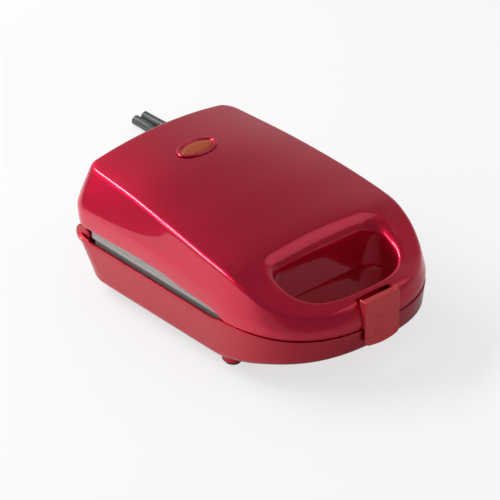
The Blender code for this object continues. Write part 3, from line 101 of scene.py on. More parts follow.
# Body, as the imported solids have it
HALF_WIDTH = 0.0775
REAR_Y = 0.11565
FRONT_Y = -0.11165
BODY_LENGTH = REAR_Y - FRONT_Y
FRONT_DEPTH = 0.0800
CURVE_Y = FRONT_Y + FRONT_DEPTH
SEAM_Z = 0.0400
FRONT_EXPONENT = 2.51
CORNER_RADIUS = 0.0160
WALL = 0.0022
SEAM_GAP = 0.0006
TOUCH_GAP = 0.0003
JOIN_DEPTH = 0.0008
CUT_OVERRUN = 0.0100
OUTLINE_STEPS = (10, 12, 28, 34)
# Rounded edges: width, steps, and the least angle that is rounded where it isn't EDGE_ANGLE
EDGE_BEVEL = 0.0004
EDGE_ANGLE = 50.0
SKIN_EDGE = (EDGE_BEVEL, 2, 60.0)
SHARP_ANGLE = 32.0
ROD_SEGMENTS = 48

# Lid
LID_TOP = 0.0520
LID_CROWN = 0.0072
LID_CORNER_RADIUS = 0.0100
LID_FRONT_INSET = 0.0032
LID_REAR_INSET = 0.0030
LID_EDGE_RADIUS = 0.0026
LID_TUCK = 0.0008
LID_GAP_HEIGHT = 0.0094
LID_WIDEST_SHARE = 0.35
LID_WALL_POWER = 1.24
LID_FRONT_WALL_POWER = 1.15
LID_FRONT_WALL_SHARE = 0.45
LID_TUCK_STEPS = 6
LID_WALL_STEPS = 16
LID_EDGE_STEPS = 8
LID_TOP_ROWS = 26
# Share of the length, then of the lid's height, of its crown and of the half width
LID_STATION_SHARES = (
    (0.018, 0.318, 0.42, 0.962),
    (0.079, 0.330, 0.72, 0.962),
    (0.150, 0.423, 0.80, 0.962),
    (0.229, 0.577, 0.82, 0.962),
    (0.299, 0.679, 0.84, 0.960),
    (0.396, 0.737, 0.84, 0.952),
    (0.572, 0.815, 0.90, 0.916),
    (0.792, 0.864, 1.00, 0.858),
    (0.972, 0.868, 0.92, 0.812),
)
LID_EDGE_SHARES = (
    (0.0, 0.0), (0.312, 0.0), (0.340, 0.43), (0.480, 0.66),
    (0.625, 1.0), (0.911, 0.82), (1.0, 0.85),
)

# Base
BASE_DEPTH = 0.0315
BASE_RIM_DROP = 0.0021
BASE_DRAFT = 0.0015
BASE_REAR_LEAN = 0.0075
BASE_EDGE_RADIUS = 0.0050
BASE_CORNER_RADIUS = 0.0260
BASE_FLOOR_ROWS = 8
BASE_EDGE_STEPS = 8
BASE_UNDER_STEPS = 3
BASE_WALL_STEPS = 6
BASE_RIM_SHARES = ((0.0, 0.0), (0.318, 0.0), (0.332, 1.0), (1.0, 1.0))
BASE_DEPTH_SHARES = ((0.0, 0.52), (0.145, 0.70), (0.264, 0.90), (0.352, 1.0), (1.0, 1.0))
FOOT_RADIUS = 0.0075
FOOT_PLACES = {
    "front_left": (-0.0620, -0.03565),
    "front_right": (0.0620, -0.03565),
    "rear_left": (-0.0580, 0.08635),
    "rear_right": (0.0580, 0.08635),
}
FOOT_EDGE = (0.0009, 4)
FOOT_PAD_HEIGHT = 0.0020
FOOT_PAD_RADIUS = 0.0055
FOOT_PAD_GROOVE_SHARE = 0.45
FOOT_PAD_EDGE = (0.0004, 3)
BOSS_RADIUS = 0.00425
BOSS_INSET = 0.0120
BOSS_SHIFT = 0.0160
BOSS_TOP = 0.0270
SCREW_RADIUS = 0.0030
SCREW_HEIGHT = 0.0016
SCREW_EDGE = 0.0003
SCREW_SLOT_SHARES = (0.16, 0.62)
SCREW_SLOT_FLOOR_SHARE = 0.6
VENT_COUNT = 7
VENT_PITCH = 0.0070
VENT_WIDTH = 0.0026
VENT_LENGTH = 0.0300
VENT_CORNER_SHARE = 0.96
VENT_CORNER_STEPS = 5
VENT_Y = CURVE_Y + 0.0650

# Finger opening
OPENING_HALF_WIDTH = 0.0460
OPENING_REAR = 0.0220
OPENING_FRONT = 0.0660
OPENING_CORNER = 0.0100
OPENING_EXPONENT = 2.3
OPENING_STRAIGHT = 0.0340
OPENING_DRAFT = 0.0024
OPENING_REAR_FILLET = 0.0100
OPENING_FRONT_FILLET = 0.0030
BASE_OPENING_GROWTH = 0.0008
OPENING_WALL_ROWS = 4
FILLET_STEPS = 10

# Hinge
HINGE_Y = 0.10515
HINGE_Z = 0.0380
HINGE = (HINGE_Y, HINGE_Z)
EAR_RADIUS = 0.0074
EAR_OUTER_X = 0.0736
EAR_WIDTH = 0.0136
EAR_EDGE = (0.0010, 4)
EAR_SEGMENTS = 64
EAR_GUSSET = 0.0180
EAR_RIB = 0.0030
EAR_RIB_INSET = 0.0008
LUG_OUTER_X = 0.0594
LUG_INNER_X = 0.0528
LUG_GAP = 0.0006
LUG_RADIUS = 0.0064
LUG_NECK = 0.0040
LUG_BLOCK_START = 0.0112
LUG_BLOCK_HEIGHT = 0.0130
LUG_NOTCH_DEPTH = 0.0058
LUG_START_ANGLE = radians(140.0)
LUG_END_ANGLE = radians(400.0)
LUG_STEPS = 36
HOOD_RADIUS = 0.0101
HOOD_END_GAP = 0.0012
HOOD_THICKNESS = 0.0018
HOOD_START_ANGLE = radians(-13.0)
HOOD_END_ANGLE = radians(72.0)
HOOD_STEPS = 24

# Latch: places along Y are from the body's front, heights are from the seam
LATCH_HALF_WIDTH = 0.0150
LATCH_FACE = -0.0024
LATCH_BACK = -0.0010
LATCH_REACH = 0.0036
LATCH_RETURN = 0.0040
LATCH_RETURN_WIDTH = 0.0014
LATCH_RETURN_LOW = 0.0012
LATCH_TOP = 0.0220
LATCH_TOP_ROUND = 0.0018
LATCH_TOP_HEIGHT = 0.0040
LATCH_TOP_BACK = 0.0022
LATCH_STRAIGHT = -0.0070
LATCH_LIP = -0.0130
LATCH_LIP_RISE = 0.0020
LATCH_LIP_CORNER = 0.0030
LATCH_HOOK = -0.0003
LATCH_HOOK_ROUND = 0.0010
LATCH_HOOK_TOP = -0.0073
LATCH_EDGE = 0.0005
LATCH_EDGE_SHARES = ((0.0, 1.0), (0.25, 0.35), (0.6, 0.08))
LATCH_WALL_LEAN = 0.2
LATCH_COLUMNS = 15
LATCH_TOP_STEPS = 8
LATCH_FACE_STEPS = 16
LATCH_FACE_CROWDING = 1.6
LATCH_HOOK_STEPS = 5
LATCH_HUB_STEPS = 16
LATCH_SHARP_ANGLE = 40.0
RIB_SHARP_ANGLE = 60.0
LATCH_LIP_SHARES = ((0.0, 0.0), (0.25, 0.32), (0.50, 0.76), (0.72, 1.0), (0.90, 0.80), (1.0, 0.0))
LATCH_RIB_HEIGHTS = (0.00720, 0.00296, -0.00128, -0.00552)
LATCH_RIB_HALF_LENGTH = 0.0073
LATCH_RIB_DEPTH = 0.00045
LATCH_RIB_HALF_WIDTH = 0.0007
LATCH_RIB_STEPS = 12
LATCH_RIB_SHARES = ((1.0, 0.15), (0.97, 0.75), (0.92, 1.0))
LATCH_PIVOT = (0.0018, 0.0062)
LATCH_HUB_RADIUS = 0.0032
LATCH_POCKET_GAP = 0.0004
LATCH_POCKET_BACK = FRONT_Y + 0.0088
LATCH_CHEEK = 0.0018
LATCH_CHEEK_LOW = 0.0427
LATCH_CHEEK_HIGH = 0.0525
LATCH_CHEEK_FRONT = FRONT_Y + 0.0028
LATCH_CHEEK_BACK = FRONT_Y + 0.0119
LATCH_PIN_RADIUS = 0.0015
LATCH_PIN_EDGE = 0.0002
CATCH_HALF_WIDTH = 0.0080
CATCH_REACH = 0.0007
CATCH_TOP = 0.0365
CATCH_HEIGHT = 0.0035
CATCH_SLOPE_SHARE = 0.75

# Cooking plates
PLATE_HALF_WIDTH = 0.0752
PLATE_FRONT_Y = -0.04865
PLATE_REAR_Y = 0.0968
PLATE_CORNER = 0.0055
PLATE_CORNER_STEPS = 14
PLATE_EDGE = (0.0006, 3, 35.0)
PLATE_PARTING_Z = 0.0445
PLATE_RIM_HEIGHT = 0.0030
PLATE_RIM_WIDTH = 0.0030
PLATE_FACE_DROP = 0.0012
PLATE_SKIRT_INSET = 0.0022
PLATE_SKIRT_WIDTH = 0.0020
PLATE_SKIRT_DEPTH = 0.0065
CUP_CENTRES = [(x, y) for x in (-0.03295, 0.03295) for y in (-0.008775, 0.054975)]
CUP_HALF_LENGTH = 0.02595
CUP_HALF_WIDTH = 0.024875
CUP_CORNER = 0.0090
CUP_CORNER_STEPS = 12
CUP_DEPTH = 0.0110
CUP_WALL = 0.0022
CUP_WALL_SHARES = ((0.0, 0.0), (0.82, 0.18), (0.95, 0.26), (1.0, 0.42))

# Indicator lamp
LAMP_PLACE = (0.0, 0.07175)
OVAL_SEGMENTS = 112
BEZEL_HALF_LENGTH = 0.0165
BEZEL_HALF_WIDTH = 0.0100
BEZEL_HEIGHT = 0.0010
BEZEL_EDGE = (0.00035, 3, 20.0)
BEZEL_RIM = 0.0022
BEZEL_NECK = 0.0028
BEZEL_SINK = 0.0050
LENS_INSET = 0.0036
LENS_DOME = 0.0008
LENS_DEPTH = 0.0044
LENS_EDGE_DROP = 0.0002
LENS_CROWN_SHARE = 0.98
LENS_STEPS = 11

# Strain relief and plug
RELIEF_PLACE = (0.0500, 0.10990, 0.0172)
RELIEF_ROOT_RADIUS = 0.0049
RELIEF_TIP_RADIUS = 0.0041
RELIEF_LENGTH = 0.0250
RELIEF_RIB_COUNT = 5
RELIEF_GROOVE = 0.0008
RELIEF_PLAIN_SHARE = 0.16
RELIEF_END_LENGTH = 0.0006
RELIEF_END_WIDTH = 0.0005
RELIEF_SHARP_ANGLE = 28.0
RELIEF_GROOVE_SHARES = ((0.0, 0.0), (0.08, 0.9), (0.14, 1.0), (0.36, 1.0), (0.42, 0.9), (0.50, 0.0))
PLUG_LENGTH = 0.0360
PLUG_HALF_WIDTH = 0.0110
PLUG_HALF_HEIGHT = 0.0080
PLUG_ROWS = 48
PLUG_CORNER_SHARE = 0.96
PLUG_CORNER_STEPS = 8
PLUG_END_SHARE = 0.98
PLUG_SHARP_ANGLE = 40.0
PLUG_SHARES = (
    (0.00, 0.44, 0.60, 0.60),
    (0.28, 0.46, 0.62, 0.60),
    (0.33, 0.72, 0.76, 0.72),
    (0.46, 1.00, 1.00, 0.80),
    (0.94, 1.00, 1.00, 0.80),
    (1.00, 0.92, 0.92, 0.72),
)

# Cord: places are in CORD_UNITs from its exit and from the body's rear
CORD_UNIT = 0.0001
CORD_DIAMETER = 0.0072
CORD_EXIT_X = 0.0500
CORD_ROUNDNESS = 5
CORD_OUT_ROUTE = (
    (0, 189, 172), (0, 263, 172), (2, 333, 165), (10, 413, 140), (32, 504, 98),
    (70, 593, 62), (120, 678, 43), (178, 759, 38), (238, 834, 38), (298, 908, 38),
    (350, 988, 38), (386, 1079, 38), (397, 1179, 38), (395, 1283, 38), (391, 1404, 38),
    (388, 1544, 38), (388, 1713, 38), (388, 1863, 38), (388, 1948, 38),
)
CORD_BACK_ROUTE = (
    (860, 1605, 118), (788, 1582, 118), (674, 1545, 102), (592, 1504, 74), (529, 1436, 49),
    (491, 1352, 39), (480, 1260, 38), (481, 1174, 38), (485, 1084, 38), (489, 983, 40),
    (492, 893, 52), (494, 819, 72), (495, 748, 83), (495, 673, 83),
)
COIL_PLACE = (803, 2024, 38)
COIL_OUTER_RADIUS = 0.0415
COIL_TURNS = 2.70
COIL_STEP = 0.0079
COIL_LAYER = 0.0080
COIL_POINTS = 36
COIL_CROSSING_TURNS = 0.25
ROUTE_FINE_STEPS = 6


def new_object(name, data):
    item = bpy.data.objects.new(name, data)
    bpy.context.scene.collection.objects.link(item)
    return item


def blend(first, second, share):
    return first + (second - first) * share


# Camera, stage and lights

def make_camera():
    data = bpy.data.cameras.new("camera")
    data.lens = LENS_MM
    data.sensor_width = SENSOR_MM
    data.clip_end = VIEW_DISTANCE * 3
    camera = new_object("camera", data)
    level = cos(VIEW_ELEVATION)
    away = Vector((sin(VIEW_AZIMUTH) * level, -cos(VIEW_AZIMUTH) * level, sin(VIEW_ELEVATION)))
    camera.location = Vector(VIEW_TARGET) + away * VIEW_DISTANCE
    camera.rotation_euler = (pi / 2 - VIEW_ELEVATION, 0.0, VIEW_AZIMUTH)
    bpy.context.scene.camera = camera


def to_camera(tree, operation, other, first, brightness):
    """Mixes a shader's output with a white that only the camera sees."""
    rays = add(tree, "LightPath").outputs["Is Camera Ray"]
    part = add(tree, "Math", {0: rays, 1: other}, operation)
    part.use_clamp = True
    white = add(tree, "Emission", {"Strength": brightness}).outputs["Emission"]
    mix = add(tree, "MixShader", {"Fac": part.outputs["Value"], 1: first, 2: white})
    fill(tree, tree.nodes["Material Output"], {"Surface": mix.outputs["Shader"]})


def floor_material():
    """Matt, part lit and part plain white to the camera, with a shaded front in reflections."""
    material, tree, shader = new_material("floor_white")
    place = add(tree, "TexCoord").outputs["Object"]
    along = add(tree, "SeparateXYZ", {"Vector": place}).outputs["Y"]
    near = ranged(tree, along, 0.0, 1.0, FLOOR_SHADE_END, FLOOR_SHADE_START)
    glossy = add(tree, "LightPath").outputs["Is Glossy Ray"]
    shade = add(tree, "Math", {0: near, 1: glossy}, "MULTIPLY").outputs["Value"]
    dark = [part * FLOOR_SHADE_COLOUR for part in FLOOR_COLOUR]
    fill(tree, shader, {
        "Base Color": mixed(tree, shade, (FLOOR_COLOUR, dark)),
        "Roughness": FLOOR_ROUGHNESS,
        "Specular IOR Level": 0.0,
    })
    to_camera(tree, "MULTIPLY", FLOOR_WHITE_SHARE, shader.outputs["BSDF"], FLOOR_WHITE)
    return material


def screen_material():
    """White to a camera in front of it, and nothing from behind or to any other ray."""
    material, tree, shader = new_material("screen_white")
    tree.nodes.remove(shader)
    behind = add(tree, "NewGeometry").outputs["Backfacing"]
    nothing = add(tree, "BsdfTransparent").outputs["BSDF"]
    to_camera(tree, "SUBTRACT", behind, nothing, SCREEN_WHITE)
    return material


def stage_sheet(name, ends, near, far, material):
    """A sheet between two x values, from one (y, z) place to another."""
    left, right = ends
    data = bpy.data.meshes.new(name)
    corners = [(left, *near), (right, *near), (right, *far), (left, *far)]
    data.from_pydata(corners, [], [(0, 1, 2, 3)])
    data.materials.append(material)
    new_object(name, data)


def make_stage():
    front, rear = FLOOR_Y
    stage_sheet("floor", FLOOR_X, (front, 0.0), (rear, 0.0), floor_material())
    stage_sheet("screen", SCREEN_X, (SCREEN_Y, 0.0), (SCREEN_Y, SCREEN_HEIGHT), screen_material())


def softbox(name, direction, distance, width, height, radiance):
    """An area light that faces the object, as bright as this in a reflection."""
    data = bpy.data.lights.new(name, "AREA")
    data.shape = "RECTANGLE"
    data.size, data.size_y = width, height
    data.energy = radiance * pi * width * height
    away = Vector(direction).normalized()
    lamp = new_object(name, data)
    lamp.location = Vector(VIEW_TARGET) + away * distance
    lamp.rotation_euler = away.to_track_quat("Z", "Y").to_euler()


def lobe(tree, direction, axis, near, far, radiance):
    """Light that fades out between two cosines from an axis."""
    inputs = {0: direction, 1: Vector(axis).normalized()}
    toward = add(tree, "VectorMath", inputs, "DOT_PRODUCT").outputs["Value"]
    return ranged(tree, toward, 0.0, radiance, far, near, "SMOOTHSTEP")


def make_world():
    """A dim studio with a pale wall behind on the right, and plain white to the camera."""
    world = bpy.data.worlds.new("studio")
    bpy.context.scene.world = world
    world.use_nodes = True
    tree = world.node_tree
    direction = add(tree, "TexCoord").outputs["Generated"]
    low = lobe(tree, direction, (0.0, 0.0, -1.0), -WALL_LOW_SINE, -WALL_HIGH_SINE, WALL_GLOW)
    right = lobe(tree, direction, WALL_DIRECTION, WALL_NEAR, WALL_FAR, 1.0)
    wall = add(tree, "Math", {0: low, 1: right}, "MULTIPLY").outputs["Value"]
    rays = add(tree, "LightPath").outputs
    glow = ranged(tree, rays["Is Diffuse Ray"], STUDIO_GLOW, STUDIO_GLOW + MATT_GLOW)
    light = add(tree, "Math", {0: wall, 1: glow}, "ADD").outputs["Value"]
    dim = fill(tree, tree.nodes["Background"], {"Color": WHITE, "Strength": light}).outputs[0]
    white = add(tree, "Background", {"Color": WHITE}).outputs[0]
    mix = add(tree, "MixShader", {"Fac": rays["Is Camera Ray"], 1: dim, 2: white})
    fill(tree, tree.nodes["World Output"], {"Surface": mix.outputs["Shader"]})


# Node trees

def fill(tree, node, inputs):
    """Gives a node's inputs plain values or other nodes' outputs."""
    for key, value in dict(inputs).items():
        if isinstance(value, bpy.types.NodeSocket):
            tree.links.new(value, node.inputs[key])
        else:
            node.inputs[key].default_value = value
    return node


def add(tree, kind, inputs=(), operation=None):
    node = tree.nodes.new("ShaderNode" + kind)
    if operation:
        node.operation = operation
    return fill(tree, node, inputs)


def new_material(name):
    material = bpy.data.materials.new(name)
    material.use_nodes = True
    return material, material.node_tree, material.node_tree.nodes["Principled BSDF"]


def noise(tree, place, settings):
    """A noise's value, or without settings the shade of fine flakes."""
    if settings:
        scale, detail = settings
        inputs = {"Scale": scale, "Detail": detail, "Vector": place}
        return add(tree, "TexNoise", inputs).outputs["Fac"]
    flakes = add(tree, "TexVoronoi", {"Scale": CANDY_FLAKE_SCALE, "Vector": place})
    return add(tree, "SeparateColor", {"Color": flakes.outputs["Color"]}).outputs["Red"]


def ranged(tree, source, low, high, start=0.0, end=1.0, kind="LINEAR"):
    """Maps start..end to low..high."""
    inputs = {"Value": source, "From Min": start, "From Max": end, "To Min": low, "To Max": high}
    item = add(tree, "MapRange", inputs)
    item.interpolation_type = kind
    return item.outputs["Result"]


def mixed(tree, factor, colours):
    item = add(tree, "Mix")
    item.data_type = "RGBA"
    tree.links.new(factor, item.inputs["Factor"])
    for socket, colour in zip([end for end in item.inputs if end.type == "RGBA"], colours):
        socket.default_value = (*colour, 1.0)
    return [end for end in item.outputs if end.type == "RGBA"][0]


def surface(name, colours, roughness, gloss, noises, relief, constants, stretch=None):
    """A mottled colour, uneven gloss and a fine relief, each by its noise."""
    material, tree, shader = new_material(name)
    place = add(tree, "TexCoord").outputs["Object"]
    if stretch:
        place = add(tree, "Mapping", {"Scale": stretch, "Vector": place}).outputs["Vector"]
    colour, shine, height = [noise(tree, place, settings) for settings in noises]
    bump = {"Height": height, "Distance": relief[0], "Strength": relief[1]}
    fill(tree, shader, {
        "Base Color": mixed(tree, colour, colours),
        "Roughness": ranged(tree, shine, *[roughness * factor for factor in gloss]),
        "Normal": add(tree, "Bump", bump).outputs["Normal"],
        **constants,
    })
    return material


def candy_red(name, colours, roughness, coat_weight, metallic):
    """Metallic red lacquer: fine flakes, slow unevenness in the gloss, a clear coat on top."""
    return surface(name, colours, roughness, CANDY_GLOSS, CANDY_NOISES, CANDY_RELIEF, {
        "Metallic": metallic,
        "Coat Weight": coat_weight,
        "Coat Roughness": CANDY_COAT_ROUGHNESS,
        "Coat IOR": CLEAR_IOR,
    })


def plain(name, colours, roughness, metallic, scale, depth):
    """A moulded, cast or coated surface."""
    noises = [(scale * share, detail) for share, detail in PLAIN_NOISE_SHARES]
    relief, constants = (depth, PLAIN_STRENGTH), {"Metallic": metallic}
    return surface(name, colours, roughness, PLAIN_GLOSS, noises, relief, constants)


def brushed(name, colours, roughness, stretch):
    """Metal with fine lines along one axis."""
    look = (BRUSHED_GLOSS, [BRUSHED_NOISE] * 3, BRUSHED_RELIEF)
    return surface(name, colours, roughness, *look, {"Metallic": 1.0}, stretch)


def clear(name, colours, roughness, transmission, scale):
    """A clear or tinted moulded piece with faint flow marks."""
    noises = [(scale, CLEAR_DETAIL)] * 3
    constants = {"Transmission Weight": transmission, "IOR": CLEAR_IOR}
    return surface(name, colours, roughness, CLEAR_GLOSS, noises, CLEAR_RELIEF, constants)


# Mesh helpers

def arc(centre, radius, start, end, steps):
    x, y = centre
    angles = [start + (end - start) / steps * k for k in range(steps + 1)]
    return [(x + radius * cos(angle), y + radius * sin(angle)) for angle in angles]


def circle(radius, count):
    return arc((0.0, 0.0), radius, 0.0, 2 * pi, count)[:-1]


def quarter(steps):
    """Sines and cosines at even steps of a quarter turn."""
    return [(sin(pi / 2 * k / steps), cos(pi / 2 * k / steps)) for k in range(steps + 1)]


def rounded_outline(half_width, low, high, radius, steps):
    """A rounded rectangle, anticlockwise from its front right corner."""
    x, low, high = half_width - radius, low + radius, high - radius
    points = []
    for turn, centre in enumerate(((x, low), (x, high), (-x, high), (-x, low)), -1):
        start = turn * pi / 2
        points += arc(centre, radius, start, start + pi / 2, steps)
    return points


def lofted(name, loops, capped=True, closed=False):
    """A mesh through closed loops of points: with flat caps, open, or closed on itself."""
    mesh = bmesh.new()
    rings = [[mesh.verts.new(place) for place in loop] for loop in loops]
    count = len(rings[0])
    for first, second in zip(rings, rings[1:] + rings[:1] if closed else rings[1:]):
        for j in range(count):
            after = (j + 1) % count
            mesh.faces.new((first[j], first[after], second[after], second[j]))
    if capped and not closed:
        mesh.faces.new(rings[0])
        mesh.faces.new(rings[-1])
    bmesh.ops.recalc_face_normals(mesh, faces=mesh.faces)
    data = bpy.data.meshes.new(name)
    mesh.to_mesh(data)
    mesh.free()
    return new_object(name, data)


def both_sides(inner, outer):
    """The x ranges between two distances from the middle, left and right."""
    return (-outer, -inner), (inner, outer)


def box(name, low, high):
    corners = [(low[0], low[1]), (high[0], low[1]), (high[0], high[1]), (low[0], high[1])]
    return lofted(name, [[(x, y, z) for x, y in corners] for z in (low[2], high[2])])


def rod(name, centre, radius, length, axis="Z", count=ROD_SEGMENTS):
    loops = []
    for end in (-length / 2, length / 2):
        loop = []
        for a, b in circle(radius, count):
            place = {"X": (end, a, b), "Y": (a, end, b), "Z": (a, b, end)}[axis]
            loop.append(Vector(centre) + Vector(place))
        loops.append(loop)
    return lofted(name, loops)


def prism(name, outline, low, high, axis="X"):
    """An outline pushed along X, from (y, z) points, or along Z, from (x, y) points."""
    along_x = axis == "X"
    loops = [[(end, a, b) if along_x else (a, b, end) for a, b in outline] for end in (low, high)]
    return lofted(name, loops)


def solidify(item):
    change = item.modifiers.new("wall", "SOLIDIFY")
    change.thickness = WALL
    change.offset = -1.0
    change.use_quality_normals = True


def bevel(item, width=EDGE_BEVEL, steps=2, angle=EDGE_ANGLE):
    change = item.modifiers.new("edges", "BEVEL")
    change.width = width
    change.segments = steps
    change.limit_method = "ANGLE"
    change.angle_limit = radians(angle)


def combine(item, other, operation="DIFFERENCE"):
    change = item.modifiers.new(other.name, "BOOLEAN")
    change.operation = operation
    change.object = other
    change.solver = "EXACT"


def drop(item):
    data = item.data
    bpy.data.objects.remove(item, do_unlink=True)
    bpy.data.meshes.remove(data)


def bake(item, sharp_angle=SHARP_ANGLE):
    """Keeps the modifiers' result as a smooth-shaded mesh, and drops what they used."""
    graph = bpy.context.evaluated_depsgraph_get()
    data = bpy.data.meshes.new_from_object(item.evaluated_get(graph))
    used = [change.object for change in item.modifiers if change.type == "BOOLEAN"]
    item.modifiers.clear()
    for other in used:
        drop(other)
    old = item.data
    item.data = data
    bpy.data.meshes.remove(old)
    data.shade_smooth()
    data.set_sharp_from_angle(angle=radians(sharp_angle))
    return item


def merge(item, others):
    mesh = bmesh.new()
    mesh.from_mesh(item.data)
    for other in others:
        mesh.from_mesh(other.data)
        drop(other)
    mesh.to_mesh(item.data)
    mesh.free()
    return item


def edged(item, *edge):
    bevel(item, *edge)
    return bake(item)


def coat(item, material):
    item.data.materials.clear()
    item.data.materials.append(material)


def place_piece(item, material, body, slot, *stands_for):
    coat(item, material)
    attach(item, body)
    if stands_for:
        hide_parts(*stands_for)
    return item


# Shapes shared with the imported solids

def read_table(table, column, share):
    """Smooth value at a share, without overshoot between the table's rows."""
    places = [row[0] for row in table]
    values = [row[column] for row in table]
    if share <= places[0]:
        return values[0]
    if share >= places[-1]:
        return values[-1]
    count = len(places) - 1
    rates = [(values[j + 1] - values[j]) / (places[j + 1] - places[j]) for j in range(count)]
    slopes = [rates[0]]
    for before, after in zip(rates, rates[1:]):
        slopes.append(0.0 if before * after <= 0 else 2 * before * after / (before + after))
    slopes.append(rates[-1])
    k = max(j for j in range(count) if places[j] <= share)
    span = places[k + 1] - places[k]
    t = (share - places[k]) / span
    return (
        values[k] * (1 + 2 * t) * (1 - t) ** 2
        + slopes[k] * span * t * (1 - t) ** 2
        + values[k + 1] * t * t * (3 - 2 * t)
        + slopes[k + 1] * span * t * t * (t - 1)
    )


def length_share(y):
    return (y - FRONT_Y) / BODY_LENGTH


def read_along(table, y, column=1):
    return read_table(table, column, length_share(y))


def d_outline(half_width, front, straight_end, rear, corner, exponent):
    """Straight rear, round corner, straight side and curved front, then their mirror."""
    rear_steps, corner_steps, side_steps, front_steps = OUTLINE_STEPS
    side_top = rear - corner
    half = [((half_width - corner) * k / rear_steps, rear) for k in range(rear_steps)]
    half += arc((half_width - corner, side_top), corner, pi / 2, 0.0, corner_steps)[:-1]
    half += [(half_width, blend(side_top, straight_end, k / side_steps)) for k in range(side_steps)]
    power = 2 / exponent
    for rise, across in quarter(front_steps)[:-1]:
        half.append((half_width * across ** power, blend(straight_end, front, rise ** power)))
    half.append((0.0, front))
    mirrored = [(-x, y) for x, y in half[1:-1]]
    return half[::-1] + mirrored


def body_outline(inset=0.0, front_inset=0.0, rear_inset=0.0, corner=CORNER_RADIUS):
    front, rear = FRONT_Y + front_inset, REAR_Y - rear_inset
    return d_outline(HALF_WIDTH - inset, front, CURVE_Y, rear, corner, FRONT_EXPONENT)


def opening_outline(growth=0.0):
    return d_outline(
        OPENING_HALF_WIDTH + growth,
        CURVE_Y - OPENING_FRONT - growth,
        CURVE_Y - OPENING_STRAIGHT,
        CURVE_Y - OPENING_REAR + growth,
        OPENING_CORNER + growth,
        OPENING_EXPONENT,
    )


def crease_half_width(y):
    width = HALF_WIDTH * read_along(LID_STATION_SHARES, y, 3)
    if y >= CURVE_Y:
        return width
    reach = min(1.0, (CURVE_Y - y) / (FRONT_DEPTH - LID_FRONT_INSET))
    return width * max(0.0, 1 - reach ** FRONT_EXPONENT) ** (1 / FRONT_EXPONENT)


def lid_top(x, y):
    edge = LID_TOP * read_along(LID_STATION_SHARES, y)
    crown = LID_CROWN * read_along(LID_STATION_SHARES, y, 2)
    width = crease_half_width(y)
    across = min(1.0, abs(x) / width) if width > 0 else 1.0
    return SEAM_Z + edge + crown * (1 - across ** 2)


def lid_edge(y):
    return SEAM_Z + blend(SEAM_GAP, LID_GAP_HEIGHT, read_along(LID_EDGE_SHARES, y))


def base_rim(y):
    return SEAM_Z - BASE_RIM_DROP * read_along(BASE_RIM_SHARES, y)


def base_bottom(y):
    return SEAM_Z - BASE_DEPTH * read_along(BASE_DEPTH_SHARES, y)


def rim_fillet(y):
    """Radius of the finger opening's rounded rim: wide at the rear, narrow at the front."""
    share = (y - (CURVE_Y - OPENING_FRONT)) / (OPENING_FRONT - OPENING_REAR)
    return blend(OPENING_FRONT_FILLET, OPENING_REAR_FILLET, min(1.0, max(0.0, share)))


def rear_wall_y(z):
    share = (SEAM_Z - BASE_RIM_DROP - z) / (BASE_DEPTH - BASE_EDGE_RADIUS - BASE_RIM_DROP)
    return REAR_Y - BASE_REAR_LEAN * min(1.0, max(0.0, share))


def rings_between(first, second, count):
    """Evenly spaced rings from one ring to another, without the first."""
    rings = []
    for k in range(1, count + 1):
        pairs = zip(first, second)
        rings.append([tuple(blend(a, b, k / count) for a, b in zip(p, q)) for p, q in pairs])
    return rings


def ring_between(first, second, share, height):
    """A ring part of the way between two outlines, at a height by x and y."""
    ring = []
    for near, far in zip(first, second):
        x, y = blend(near[0], far[0], share), blend(near[1], far[1], share)
        ring.append((x, y, height(x, y)))
    return ring


# Lid

